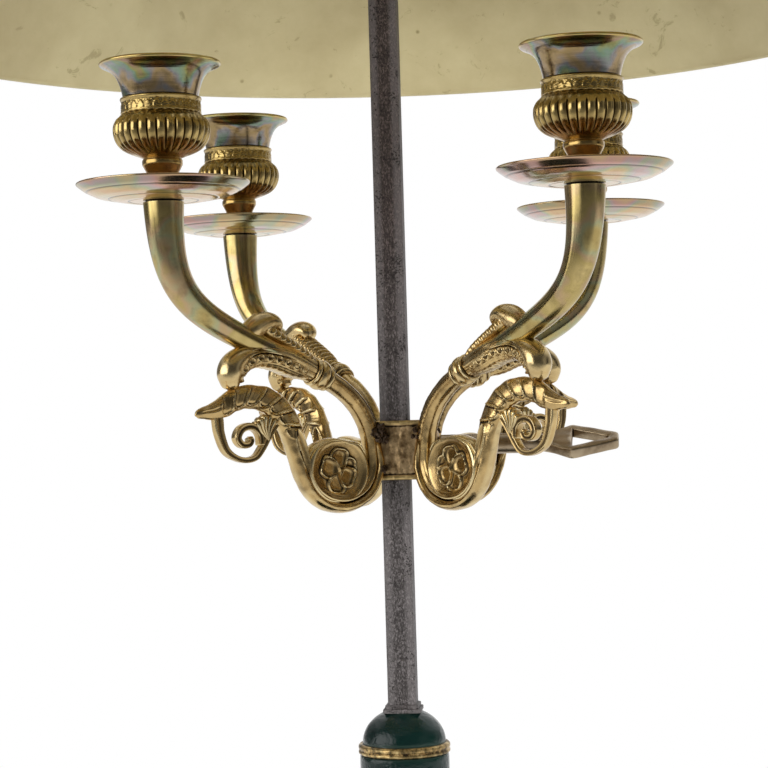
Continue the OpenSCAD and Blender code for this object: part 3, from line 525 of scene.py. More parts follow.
# Green wool felt: matt, with a short fuzz that catches the light at the edge.
def woolFelt(user):
    skin, add, shade = newSkin("green_wool_felt")
    place = add("TexCoord", {}, "Object")
    fuzz = add("TexNoise", {"Vector": place, "Scale": 1000 / user["fibreMm"], "Detail": 4.0})
    shown = add("Mix", {"Factor": fuzz, 6: colour(user["dark"]), 7: colour(user["light"])}, **rgba)
    bump = add("Bump", {"Height": fuzz, "Strength": 0.6, "Distance": 0.0003})
    shade({"Roughness": user["rough"], "Sheen Weight": user["sheen"], "Base Color": shown, "Normal": bump})
    return skin


skins["shadePaint"] = shadePaint({
    "cream": "#bfb48b", "creamDark": "#ac9f77", "stain": "#85784f", "green": "#1c3226", "greenDark": "#14261d",
    "cloudMm": 38, "clouds": (0.32, 0.68), "spotMm": 9, "spots": (0.14, 0.05), "spotField": 2.3,
    "spotPlaces": (0.53, 0.6), "scuffMm": 12, "scuffs": (0.6, 0.66), "scuffShare": 0.55,
    "roughInside": 0.5, "roughOutside": 0.33})
skins["felt"] = woolFelt({"fibreMm": 1.2, "dark": "#1b3a26", "light": "#2c5539", "rough": 0.95, "sheen": 0.4})


# Base: tray with its trumpet, gilt rings, column and dome.
dish = {"columns": 168, "rim": 97.5, "wall": 1.4, "floorTop": 4.1, "wallTop": 20.1, "foot": 60.0, "ledge": 47.0,
        "neck": 16.7, "trumpetTop": 62.1, "mound": 21.1, "floorLean": 0.55, "band": 2.5}
column = {"wall": 1.5, "edge": 0.4, "boreR": 4.2, "domeTopR": 7.0}


# Mound and trumpet: a convex quarter ellipse at the shoulder, then a concave one, upright at the column.
def moundFace(inward, down):
    a = np.radians(np.linspace(0, 90, 32))
    foot, ledge, neck = dish["foot"] - inward, dish["ledge"] - inward, dish["neck"] - inward
    low, mid, top = dish["floorTop"] - down, dish["mound"] - down, dish["trumpetTop"]
    shoulder = np.stack([ledge + (foot - ledge) * np.cos(a), low + (mid - low) * np.sin(a)], -1)
    horn = np.stack([ledge - (ledge - neck) * np.sin(a), top - (top - mid) * np.cos(a)], -1)
    return np.vstack([shoulder, horn[1:]])


def trayProfile():
    lean = dish["rim"] - (dish["wallTop"] - dish["floorTop"]) * dish["floorLean"]
    half = dish["wall"] / 2
    outer = moundFace(0, 0)
    inner = moundFace(dish["wall"], dish["wall"])
    floorIn = softProfile([(dish["foot"], dish["floorTop"]), (lean - half, dish["floorTop"]),
                           (dish["rim"] - half, dish["wallTop"])], 1.2, 6)
    floorOut = softProfile([(dish["rim"] + half, dish["wallTop"]),
                            (lean + half, dish["floorTop"] - dish["wall"]),
                            (dish["foot"] - dish["wall"], dish["floorTop"] - dish["wall"])], 1.2, 6)
    return np.vstack([outer[::-1], floorIn[1:], floorOut, inner[1:]])


trayPoints = turned(trayProfile(), dish["columns"])
makePiece("paintedTray", [part(trayPoints, along=True)], "lacquer", "root", "base_dish")


# A turned ring whose outside follows the given (radius, height) corners, rounded and closed along its bore.
def ringPart(bore, outline, columns=144, step=0.3):
    outline = np.asarray(outline, float)
    loop = np.vstack([[(bore, outline[0, 1])], outline, [(bore, outline[-1, 1])], [(bore, outline[0, 1])]])
    return part(turned(softProfile(loop, step, 2)[:-1], columns), along=True)


a = np.linspace(0, tau, 33)[:-1]
bandProfile = np.stack([dish["rim"] + dish["band"] * np.cos(a), dish["wallTop"] + dish["band"] * np.sin(a)], -1)
makePiece("trayRimBand", [part(turned(bandProfile, 216), along=True)], "wornGilt", "root", "dish_rim_band")

low, high = nodeBox("column_ring")
r = high[0]
makePiece("lowerRing", [ringPart(dish["neck"] + 0.05, [
    (r - 0.9, low[2]), (r, low[2] + 0.5), (r, low[2] + 1.4), (r - 0.5, low[2] + 1.8), (r - 0.2, low[2] + 2.6),
    (r - 0.7, low[2] + 3.2), (r - 0.9, high[2])])], "wornGilt", "root", "column_ring")
low, high = nodeBox("column")
r, edge = dish["neck"], column["edge"]
makePiece("columnTube", [ringPart(r - column["wall"], [
    (r - edge, low[2]), (r, low[2] + edge), (r, high[2] - edge), (r - edge, high[2])], 168, 1.2)],
          "lacquer", "root", "column")
low, high = nodeBox("dome_ring")
r = high[0]
makePiece("upperRing", [ringPart(column["boreR"], [
    (r - 0.8, low[2]), (r, low[2] + 0.5), (r, low[2] + 1.3), (r - 0.35, low[2] + 1.6), (r - 0.35, low[2] + 1.9),
    (r, low[2] + 2.3), (r, low[2] + 3.2), (r - 0.7, high[2])])], "wornGilt", "root", "dome_ring")
low, high = nodeBox("dome_cap")
domeEnd = math.acos(column["domeTopR"] / high[0])
a = np.linspace(0, domeEnd, 40)
domeFace = np.stack([high[0] * np.cos(a), low[2] + (high[2] - low[2]) / math.sin(domeEnd) * np.sin(a)], -1)
domeProfile = np.vstack([[(column["boreR"], low[2])], domeFace, [(column["boreR"], high[2])]])
makePiece("domeCap", [part(turned(domeProfile, 160), along=True)], "lacquer", "root", "dome_cap")
print("base made")


# Stem: a bar with worn edges and its stepped flange, finial and carry ring.
stem = {"power": 22, "rows": 360, "rodR": 4, "tenonR": 3, "ringThick": 2, "ringWear": 0.12,
        "nick": 0.012, "nickMm": 7, "wave": 0.003, "waveMm": 3}


# Loft of rounded squares: rows are (height, half size), each with the same edge power.
def squareLoft(rows, power, columns, middle=(0, 0)):
    return np.stack([np.column_stack([squareRing(half, half, power, columns, middle), np.full(columns, z)])
                     for z, half in rows])


low, high = nodeBox("stem")
flangeLow, flangeHigh = nodeBox("stem_flange")
stemFoot, stemShoulder = float(flangeHigh[2]), float(nodeBox("finial")[0][2])
half = high[0]
bar = squareLoft([(z, half) for z in np.linspace(stemFoot, stemShoulder, stem["rows"])], stem["power"], 48)
# Nicks lie along the corners only; a finer wander waves the faces.
nicks = np.clip(wander(bar * np.array([1, 1, 0.35]), stem["nickMm"], 21), 0.55, 1) - 0.55
corner = np.clip(np.hypot(bar[..., 0], bar[..., 1]) / half - 1.2, 0, 0.2) * 5
waves = np.clip(wander(bar * np.array([1, 1, 0.3]), stem["waveMm"], 22), 0, 1)
bar[..., :2] *= (1 - stem["nick"] * corner * nicks - stem["wave"] * waves)[..., None]
rod = turned([(stem["rodR"], low[2]), (stem["rodR"], stemFoot + 1)], 32)
tenon = turned([(stem["tenonR"], stemShoulder - 1), (stem["tenonR"], high[2])], 24)
makePiece("stemBar", [part(bar), part(rod), part(tenon)], "stemIron", "root", "stem")
stepZ = (flangeLow[2] + flangeHigh[2]) / 2
side = flangeHigh[0]
flangeRows = [(flangeLow[2], side - 0.1), (flangeLow[2] + 0.2, side), (stepZ - 0.2, side), (stepZ, side - 0.15),
              (stepZ + 0.02, side - 0.75), (stepZ + 0.1, side - 0.8), (flangeHigh[2] - 0.25, side - 0.8),
              (flangeHigh[2], side - 1.1)]
makePiece("stemFlange", [part(squareLoft(flangeRows, stem["power"], 72))], "stemIron", "root", "stem_flange")

low, high = nodeBox("finial")
r, h = high[0], high[2] - low[2]
finialShape = [(0.6 * r, 0), (0.97 * r, 0), (r, 0.03 * h), (r, 0.08 * h), (0.95 * r, 0.11 * h),
               (0.82 * r, 0.13 * h), (0.7 * r, 0.17 * h), (0.52 * r, 0.23 * h), (0.46 * r, 0.3 * h),
               (0.5 * r, 0.345 * h), (0.62 * r, 0.36 * h), (0.64 * r, 0.385 * h), (0.58 * r, 0.41 * h),
               (0.76 * r, 0.44 * h), (0.9 * r, 0.5 * h), (0.95 * r, 0.58 * h), (0.91 * r, 0.66 * h),
               (0.76 * r, 0.75 * h), (0.55 * r, 0.82 * h), (0.4 * r, 0.87 * h), (0.42 * r, 0.9 * h),
               (0.5 * r, 0.92 * h), (0.51 * r, 0.95 * h), (0.44 * r, 0.99 * h), (0.3 * r, h)]
finialPoints = turned(softProfile([(a, low[2] + b) for a, b in finialShape], 0.36, 3), 112)
makePiece("finialKnob", [part(finialPoints)], "turnedBrass", "root", "finial")
low, high = nodeBox("carry_ring")
ringR = (high[0] - low[0]) / 2 - stem["ringThick"]
s = np.linspace(0, tau, 145)[:-1, None]
t = np.linspace(0, tau, 41)[None, :-1]
thick = stem["ringThick"] + stem["ringWear"] * (np.cos(s) - 1)  # worn thinner at the bottom
ringPoints = np.stack([(ringR + thick * np.cos(t)) * np.sin(s), thick * np.sin(t) + 0 * s,
                       high[2] - stem["ringThick"] - ringR + (ringR + thick * np.cos(t)) * np.cos(s)], -1)
makePiece("carryRing", [part(ringPoints, along=True)], "turnedBrass", "root", "carry_ring")
print("stem made")


# Sliding sleeves.
sleeve = {"half": 9.0, "lip": 0.6, "lipHeight": 1.8, "boreX": (-5.3, 9.5), "boreY": 5.4, "bossR": 5.75,
          "bossX": 16.1, "mouthR": 3.0, "columns": 176,
          # Lumps of solder: place out, across and up, and size; then their share of that size on each branch.
          "solder": ((12.2, 3.1, 7.4, 2.0), (11.2, 3.6, 5.0, 1.6), (15.2, 3.0, 6.6, 1.5), (13.6, 3.6, 4.9, 1.4),
                     (11.6, 3.0, -6.9, 1.3)), "solderShare": (0.75, 0.65, 1.1, 0.45)}


# Body of a sleeve: one closed loft down the outside with its lips and up the bore. Its screw is at screwZ.
def sleeveParts(node, screwZ, solder):
    low, high = nodeBox(node)
    z0, z1 = low[2], high[2]
    h, lip, lh = sleeve["half"], sleeve["lip"], sleeve["lipHeight"]
    outline = [(z1, h + lip - 0.5), (z1 - 0.25, h + lip - 0.05), (z1 - 0.7, h + lip), (z1 - lh + 0.5, h + lip),
               (z1 - lh + 0.1, h + lip - 0.3), (z1 - lh - 0.15, h)]
    outline += [(z, h) for z in np.linspace(z1 - lh - 0.6, z0 + lh + 0.6, 46)]
    outline += [(z0 + lh + 0.15, h), (z0 + lh - 0.1, h + lip - 0.3), (z0 + lh - 0.5, h + lip),
                (z0 + 0.7, h + lip), (z0 + 0.25, h + lip - 0.05), (z0, h + lip - 0.5)]
    columns = sleeve["columns"]
    rows = [*squareLoft(outline, 16, columns, (hub[0], 0))]
    x0, x1 = sleeve["boreX"]
    bore = squareRing((x1 - x0) / 2, sleeve["boreY"], 40, columns, ((x0 + x1) / 2, 0))
    rows += [np.column_stack([bore, np.full(columns, z)]) for z in (z0, z0 + 0.4, z1 - 0.4, z1)]
    body = np.stack(rows)
    outside = np.arange(len(rows))[:, None] < len(outline)
    pits = 0.10 * wander(body, 5, 31) + 0.07 * wander(body, 2.2, 32)
    for axis, middle in ((0, hub[0]), (1, 0)):
        off = body[..., axis] - middle
        body[..., axis] += np.where(outside, pits, 0) * np.sign(off) * (np.abs(off) > h * 0.97)
    parts = [part(body, along=True)]
    # Boss of the screw, turned about X, with a rounded mouth.
    r, bx = sleeve["bossR"], sleeve["bossX"]
    bossFace = softProfile([(r + 0.5, hub[0] + h - 0.5), (r + 0.25, hub[0] + h + 0.4), (r, hub[0] + h + 1.2),
                            (r, bx - 0.7), (r - 0.6, bx), (sleeve["mouthR"], bx), (2.85, bx - 2)], 0.3, 2)
    boss = turned(bossFace, 96)
    parts.append(part(np.stack([boss[..., 2], boss[..., 0], boss[..., 1] + screwZ], -1)))
    # Lumps of solder in the corners between the sleeve and the tubes.
    for k in range(4 if solder else 0):
        turn = math.radians(45 + 90 * k)
        for step, (out, across, rise, size) in enumerate(sleeve["solder"]):
            size *= sleeve["solderShare"][k]
            for face in (-1, 1):
                at = np.array([hub[0] + out * math.cos(turn) - face * across * math.sin(turn),
                               out * math.sin(turn) + face * across * math.cos(turn), (z0 + z1) / 2 + rise])
                ball = turned([(math.sin(a) * size, -math.cos(a) * size * 1.2)
                               for a in np.linspace(0.01, math.pi - 0.01, 15)], 20)
                ball *= 1 + 0.3 * wander(ball + 10 * step + 40 * k + 90 * face, 1.1, 50 + step)[..., None]
                parts.append(part(ball + at, tone=1))
    return parts


armScrewZ, shadeScrewZ = middleHeight("arm_pad"), middleHeight("shade_pad")
makePiece("armSleeve", sleeveParts("arm_sleeve", armScrewZ, True), "sleeveBronze", "arms", "arm_sleeve")
makePiece("shadeSleeve", sleeveParts("shade_sleeve", shadeScrewZ, False), "sleeveBronze", "shade",
          "shade_sleeve")


# Hand screws.
key = {"roll": math.radians(20), "shank": 3.8, "thread": 2.8, "headX": 52.1, "headLen": 31.0, "headW": 26.0,
       "headT": 4.0, "swell": 1.7, "swellLen": 4.2}


# Distance from a point inside to a rounded convex outline: the p-norm of the distances to its sides.
def outlineRadius(angle, sides, power):
    total = 0
    for direction, distance in sides:
        total = total + np.clip(np.cos(angle - direction) / distance, 0, None) ** power
    return total ** (-1 / power)


# Sides of a polygon as (direction of the normal, distance) seen from a middle point.
def sidesOf(corners, middle):
    corners = np.asarray(corners, float) - middle
    sides = []
    for a, b in zip(corners, np.roll(corners, -1, 0)):
        d = (b - a) / np.hypot(*(b - a))
        n = np.array([d[1], -d[0]])
        sides.append((math.atan2(n[1], n[0]), float(n @ a)))
    return sides


# Hand screw about X: its shank, and a flat pierced head, a band carried round between two rounded outlines.
def handScrewParts(screwZ):
    length, width = key["headLen"], key["headW"]
    middle = np.array([length * 0.45 + 3.6, 0.0])
    outer = sidesOf([(-0.8, -1.2), (length * 0.45, -width / 2 - 0.3), (length + 0.1, -width * 0.15),
                     (length + 0.1, width * 0.15), (length * 0.45, width / 2 + 0.3), (-0.8, 1.2)], middle)
    hole = sidesOf([(length * 0.45, -width / 2 + 4), (length - 4, -1.3), (length - 4, 1.3),
                    (length * 0.45, width / 2 - 4)], middle)
    a = np.arange(240) * tau / 240
    rimOut = outlineRadius(a, outer, 26)
    rimIn = outlineRadius(a, hole, 22)
    t = np.arange(36) * tau / 36
    c, s = np.cos(t), np.sin(t)
    c, s = np.sign(c) * np.abs(c) ** 0.42, np.sign(s) * np.abs(s) ** 0.42
    radius = (rimOut + rimIn)[:, None] / 2 + (rimOut - rimIn)[:, None] / 2 * c
    x = middle[0] + radius * np.cos(a)[:, None]
    y = radius * np.sin(a)[:, None]
    swell = key["headT"] / 2 + key["swell"] * np.exp(-np.clip(x + 0.8, 0, None) / key["swellLen"])
    head = np.stack([x + key["headX"], y, swell * s], -1)
    head[..., 2] += 0.10 * wander(head, 9, 71)
    r = key["shank"]
    shankFace = softProfile([(key["thread"], 7.3), (key["thread"], 16.2), (r - 0.7, 16.3), (r, 16.9), (r, 48),
                             (r + 0.15, 51.5), (r - 0.4, 54.5), (r - 1.6, 56.5), (0.6, 57.5)], 0.35, 3)
    shank = turned(shankFace, 56)
    shank[..., :2] *= (1 + 0.012 * wander(shank, 12, 72))[..., None]
    screw = np.stack([shank[..., 2], shank[..., 0], shank[..., 1]], -1)
    c, s = math.cos(key["roll"]), math.sin(key["roll"])

    def rolled(p):
        return np.stack([p[..., 0], p[..., 1] * c - p[..., 2] * s, p[..., 1] * s + p[..., 2] * c + screwZ], -1)
    return [part(rolled(head), along=True), part(rolled(screw))]


makePiece("armHandScrew", handScrewParts(armScrewZ), "screwBronze", "arm_hand_screw", "arm_key")
makePiece("shadeHandScrew", handScrewParts(shadeScrewZ), "screwBronze", "shade_hand_screw", "shade_key")
print("sleeves and screws made")


# Candle branches: made once in branch coordinates (out, across, up) and placed four times.

# Section angles and a rounded-rectangle section: power 1 is an ellipse, smaller values are squarer.
def section(columns, power=1.0):
    t = np.arange(columns) * tau / columns
    c, s = np.cos(t), np.sin(t)
    return np.sign(c) * np.abs(c) ** power, np.sign(s) * np.abs(s) ** power, t


# Section for modelled faces: level runs from 1 to -1 and back at nearly even steps, and side is 1 on one face
# and -1 on the other.
def faceSection(columns):
    t = np.arange(columns) * tau / columns
    ramp = 1 - 2 * np.minimum(t, tau - t) / math.pi
    return 0.6 * np.cos(t) + 0.4 * ramp, np.sign(np.round(np.sin(t), 9))


# Half an ellipse over the level: 1 in the middle, 0 at its two edges.
def dome(level, middle=0.0, half=1.0):
    return np.clip(1 - ((level - middle) / half) ** 2, 0, 1) ** 0.5


# Narrow ridge: a bell curve over x around its middle.
def ridge(x, middle, width):
    return np.exp(-((x - middle) / width) ** 2)


# An oval strand along a path whose third and fourth columns are its half sizes in the plane and across it.
def strand(controls, count, columns, power=1.0):
    path, _ = smoothPath(controls, count)
    c, s, _ = section(columns, power)
    return carried(path, path[:, 2, None] * c, path[:, 3, None] * s)


# Smooth step from 0 to 1 between two values.
def rise(x, a, b):
    f = np.clip((x - a) / (b - a), 0, 1)
    return f * f * (3 - 2 * f)


# Length along a path at the point nearest to a place in its plane.
def lengthAt(path, s, place):
    return float(s[np.argmin(np.hypot(path[:, 0] - place[0], path[:, 1] - place[1]))])


# The casting's main line: down from the cuff, round the volute, up through the foliage to the beak's tip.
# Each point is (out, up, half size in the plane, half size across it).
mainLine = [(34.7, 27.3, 3.5, 3.5), (26.9, 22.6, 3.5, 3.5), (20.3, 16.6, 3.5, 3.5), (15.9, 9, 3.5, 3.5),
            (14, 0.5, 3.5, 3.6), (13.8, -7, 3.6, 3.9), (18, -14.3, 3.7, 4), (26, -18.2, 3.7, 4),
            (34.6, -17.8, 3.7, 4), (41.2, -14, 3.7, 3.9), (45.4, -7.4, 3.9, 3.7), (48.2, 0.6, 4.2, 3.4),
            (51.2, 9.2, 4.7, 3.1), (55.2, 15.2, 4.9, 3), (60.6, 19.3, 4.7, 2.9), (66.3, 20.9, 4.4, 2.9),
            (71.3, 21, 4.2, 2.8), (75.8, 19.9, 4.1, 2.7), (80, 17.7, 3.7, 2.5), (84.6, 16.2, 3.0, 2.1),
            (88.2, 15.8, 2.2, 1.6), (90.6, 15.4, 1.5, 1.1), (91.7, 15.1, 0.4, 0.4)]
scroll = {"volute": (14, 0.5), "leaves": (44.5, -10), "foliage": (52, 10), "tip": (88, 15.4), "tongue": 5.9,
          "rosette": (31.0, -6.8), "dish": 9.2, "notch": 2.2, "rows": (0.65, 0.26),
          # Edge of the plate inside the volute: directions in degrees and distances from the rosette's middle.
          "plate": [(0, 14.5), (40, 14.2), (62, 12.7), (85, 11.7), (110, 11.5), (133, 13.1), (180, 13.6),
                    (270, 11.6), (360, 14.5)],
          # Petals: direction in degrees and length.
          "petals": [(168, 7.9), (285, 8.2), (92, 8.4), (209, 7.7), (18, 8.6)]}


# The scroll's main body: a round tube; then the volute, whose faces have a thick outer roll, a narrow groove
# and the plate's raised edge; then the stalk, smooth outside, and the foliage, with tongues of leaf laid over
# one another.
def scrollBody():
    path, s = smoothPath(mainLine, 1500)
    start = {key: lengthAt(path, s, scroll[key]) for key in ("volute", "leaves", "foliage", "tip")}
    # Rows stand closer together along the leaves than along the plain tube.
    spacing = np.where(s < start["leaves"] - 2, *scroll["rows"])
    row = np.cumsum(np.diff(s, prepend=0) / spacing).astype(int)
    kept = np.r_[True, np.diff(row) > 0]
    kept[-1] = True
    path, s = path[kept], s[kept, None]
    level, side = faceSection(84)
    a, b = path[:, 2, None], path[:, 3, None]
    volute = rise(s, start["volute"] - 4, start["volute"] + 6)
    volute = volute * (1 - rise(s, start["leaves"] + 3, start["foliage"]))
    # Level -1 is the volute's outside.
    roll = dome(level, -0.45, 0.55)
    plate = 0.72 * dome(level) ** 0.35 + 0.1 * ridge(level, 0.3, 0.16)
    faces = np.maximum(roll, plate * rise(level, -0.02, 0.14))
    height = b * ((1 - volute) * dome(level) ** 0.8 + volute * faces)
    # Tongues: `turn` counts them along the casting, `reach` runs from the foliage's outer edge to the inner
    # one. Each has a thin rim that slants towards the tip, a hollow that deepens away from it, and an arched
    # end.
    foliage = rise(s, start["foliage"] - 6, start["foliage"] + 1)
    reach = -level
    turn = (s - start["foliage"]) / scroll["tongue"] - 0.5 * reach - 0.12 * reach ** 2
    across = turn % 1.0
    arch = 0.42 + 0.36 * dome(across, 0.42, 0.42) ** 1.3
    over = foliage * (1 - rise(s, start["tip"] - 9, start["tip"] - 5))
    beak = rise(s, start["tip"] - 9, start["tip"] - 4) * (1 - rise(s, start["tip"], start["tip"] + 2.5))
    tongue = over * rise(reach, -0.95, -0.55) * (1 - rise(reach, arch - 0.04, arch + 0.06))
    rim = np.maximum(ridge(across, 0.12, 0.075) + ridge(across, 1.12, 0.075),
                     ridge(reach, arch - 0.08, 0.06) * rise(across, 0.1, 0.25))
    hollow = 0.28 - 0.7 * rise(across, 0.12, 0.85) + 0.018 * np.cos(tau * 5 * across)
    height = height + tongue * (0.7 * rim + hollow)
    height = height - 0.3 * over * rise(reach, 0.3, 0.6) * (1 - rise(reach, 0.85, 1))
    height = height + beak * (0.22 * ridge(level, 0.45, 0.2) + 0.22 * ridge(level, -0.1, 0.2)
                              - 0.15 * ridge(level, 0.18, 0.15))
    # One long hollow leaf runs up the stalk on the volute's side and ends in an arch under the foliage.
    f = (s - start["leaves"]) / (start["foliage"] - 1.5 - start["leaves"])
    edge = np.abs(a * (level - 0.18)) - 2.3 * np.sin(math.pi * np.clip(f, 0, 1) ** 1.7) ** 0.55
    leaf = rise(f, 0.02, 0.2) * (1 - rise(f, 0.99, 1.01))
    height = height + leaf * (0.4 * ridge(edge, 0, 0.4) - 1.0 * rise(-edge, 0, 1.6))
    inPlane = a * level * (1 + 0.02 * over * np.cos(tau * across) * np.abs(level))
    # Filed notches across the tube where it passes the sleeve.
    nearSleeve = rise(s, 16, 20) * (1 - rise(s, 33, 36))
    notch = nearSleeve * np.clip(np.cos(tau * s / scroll["notch"]) - 0.35, 0, 1) * 0.04 * (level < 0.2)
    body = carried(path, inPlane * (1 - notch), side * np.maximum(height, 0) * (1 - notch))
    body += 0.06 * wander(body, 5, 11)[..., None] * (body - body.mean(1, keepdims=True)) / 4
    return body


# Face of the volute's plate: it slopes in to a wild rose of five broad petals with raised wavy edges, each laid
# over the last, and a centre boss. Height over the casting's middle plane as a function of radius and angle.
def roseHeight(r, t):
    gap = np.full(np.broadcast(r, t).shape, 9.0)
    within = np.zeros_like(gap)
    for direction, size in scroll["petals"]:
        off = t - math.radians(direction)
        x, y = r * np.cos(off) - 0.52 * size, r * np.sin(off)
        long, wide = 0.5 * size, 3.7 * (1 + 0.06 * x)
        around = np.arctan2(y / wide, x / long)
        outside = 3.6 * (np.hypot(x / long, y / wide) * (1 + 0.035 * np.cos(5 * around + direction))
                         + 0.12 * ridge(around, 0, 0.35) - 1)
        gap = np.where(outside < 0, -outside, np.minimum(gap, 1.5 * np.abs(outside)))
        within = np.where(outside < 0, rise(-outside, 0, 2.0), within)
    dish = scroll["dish"]
    field = 1.75 + 0.95 * rise(r, dish - 1.6, dish + 3.2)
    return (field + (0.9 * ridge(gap, 0, 0.45) - 0.4 * within) * (1 - rise(r, dish - 0.4, dish + 0.2))
            + 0.9 * ridge(r, 0, 1.5))


def voluteFace():
    at = scroll["rosette"]
    t = np.arange(132)[None] * tau / 132
    edge = np.interp(np.degrees(t), *np.array(scroll["plate"]).T)
    f = np.linspace(0.004, 1, 52)[:, None] ** 0.9
    # The plate's edge bends smoothly to a circle towards the rose, so that its rings stay round.
    r = f * (scroll["dish"] + 2 + (edge - scroll["dish"] - 2) * rise(f, 0.75, 1))
    h = roseHeight(r, t) * (1 - 0.6 * rise(f, 0.97, 1)) + 0.4 * ridge(f, 0.93, 0.035)
    front = np.stack([at[0] + r * np.cos(t), -h, at[1] + r * np.sin(t)], -1)
    return np.vstack([front, (front * np.array([1, -1, 1]))[::-1]])


# The lip above the volute's plate, the spiral that hangs from the foliage with its inner curl, and the strand
# that runs up from the stalk.
lipTrace = [(45.2, -1.2, 0.9, 2.9), (42, 2.2, 0.9, 2.9), (37, 4.1, 0.9, 2.9), (33, 4.6, 0.9, 2.9),
            (27, 3.6, 0.9, 2.9), (22, 2.6, 0.9, 2.9), (19.8, 0, 0.9, 2.9)]
spiralTrace = [(83.6, 17.2, 1.4), (82.6, 13.4, 2.0), (82, 8.5, 1.8), (79.6, 2.6, 1.5), (75.5, -0.3, 1.1),
               (71, -1.3, 1.05), (67, -0.4, 1.15), (64.2, 2.6, 1.3), (61.4, 6.6, 1.25), (58, 10.6, 0.9),
               (55.6, 11.6, 0.6)]
curlTrace = [(64.6, 3.6, 1.0), (65, 7.6, 1.2), (67.2, 10, 1.3), (70.2, 10.6, 1.4), (73.2, 9.4, 1.4),
             (74.6, 6.6, 1.35), (72.9, 4.3, 1.25), (70.2, 4.2, 1.15), (69.0, 5.6, 1.1), (69.8, 6.9, 1.0)]
strandTrace = [(48.6, 1, 0.9), (50.6, 6.4, 1.1), (53, 10.6, 1.1), (56.2, 12.9, 1.1), (58.6, 12.4, 0.9),
               (58.6, 10.6, 0.6)]


# A strap along a trace of (out, up, half width), with rounded edges and a shallow channel along both faces.
def strap(trace, depth, count, columns):
    path, s = smoothPath(trace, count)
    f = (s / s[-1])[:, None]
    c, sn, _ = section(columns, 0.45)
    groove = 0.2 * np.clip(1 - (c / 0.7) ** 2, 0, 1)
    tip = np.clip((1 - f) / 0.02, 0, 1) ** 0.5 * np.clip(f / 0.01, 0, 1) ** 0.5
    return carried(path, path[:, 2, None] * c * tip, depth * sn * (1 - groove * (np.abs(sn) > 0.5)) * tip)


# Palmette in the fork: five ribs fan out from the strap and end in rounded lobes.
def palmette():
    ribs = []
    for end, thick in (((58.6, 13.4), 1.0), ((60.7, 14.6), 1.1), ((63.2, 14.8), 1.2), ((65.4, 13.7), 1.1),
                       ((67.1, 12.2), 0.9)):
        foot = np.array([61.6, 5.4])
        end = np.array(end)
        mid = 0.5 * foot + 0.5 * end + (end - foot)[::-1] * np.array([0.06, -0.06])
        lobe = end - 0.12 * (end - foot)
        ribs.append(strand([(*foot, 0.4, 1.4), (*mid, 0.75, 2.0), (*lobe, thick, 2.3), (*end, 0.25, 0.9)],
                           44, 20, 0.9))
    return ribs


scrollParts = [part(grid) for grid in (
    scrollBody(), voluteFace(), strand(lipTrace, 120, 20), strap(spiralTrace, 1.6, 150, 28),
    strap(curlTrace, 1.9, 130, 28), strap(strandTrace, 2.2, 80, 24), *palmette())]


# Leaf cup: rings and a calyx around the joint, and two leaves that curl over.
cuff = {"start": np.array([34.7, 27.3]), "end": np.array([60.0, 37.6])}
cuffDir = (cuff["end"] - cuff["start"]) / np.hypot(*(cuff["end"] - cuff["start"]))


# Turned rings, then a calyx of eight pointed sepals that thins into the horn.
def calyx():
    s = np.linspace(-1.6, 27.4, 120)[:, None]
    t = np.arange(64)[None] * tau / 64
    radius = 4.1 + 0.6 * rise(s, 6, 14) - 0.38 * rise(s, 18, 27.2) + 0 * t
    for at, width, tall in ((-0.2, 0.8, 0.75), (2.9, 1.9, 1.45), (6.0, 0.9, 1.1)):
        radius += tall * dome(s, at, width) ** 0.8
    sepal = rise(s, 6.6, 7.6) * (1 - rise(s, 20, 26))
    radius += sepal * (0.4 * np.abs(np.cos(4 * t + 0.05 * s)) - 0.12)
    centre = cuff["start"] + s * cuffDir
    inPlane = radius * np.cos(t)
    n = np.array([-cuffDir[1], cuffDir[0]])
    return np.stack([centre[:, 0, None] + n[0] * inPlane, radius * np.sin(t),
                     centre[:, 1, None] + n[1] * inPlane], -1)


# Leaf over the horn: a row of beads runs up its back, its sides are fanned, and it ends under the cap.
def upperLeaf():
    path, s = smoothPath([(40.5, 33.0, 0.9, 2.8), (45, 35.8, 1.5, 3.8), (51, 39.1, 1.7, 4.3),
                          (56.6, 42.0, 1.9, 4.5), (60.2, 44.2, 2.6, 4.4), (62.4, 46.2, 2.6, 4.0)], 130)
    s = s[:, None]
    c, sn, _ = section(56, 0.85)
    bead = np.abs(np.sin(math.pi * s / 2.5)) ** 0.7
    top = np.clip(c, 0, 1) ** 2
    fan = np.cos(tau * (s / 2.5 + 1.1 * np.abs(sn)))
    inPlane = path[:, 2, None] * c + (0.8 * bead - 0.15) * top * (1 - rise(s, 19, 22))
    across = path[:, 3, None] * sn * (1 + 0.08 * fan * (c > -0.4)) + 0.2 * bead * np.sign(sn) * top
    return carried(path, inPlane, across)


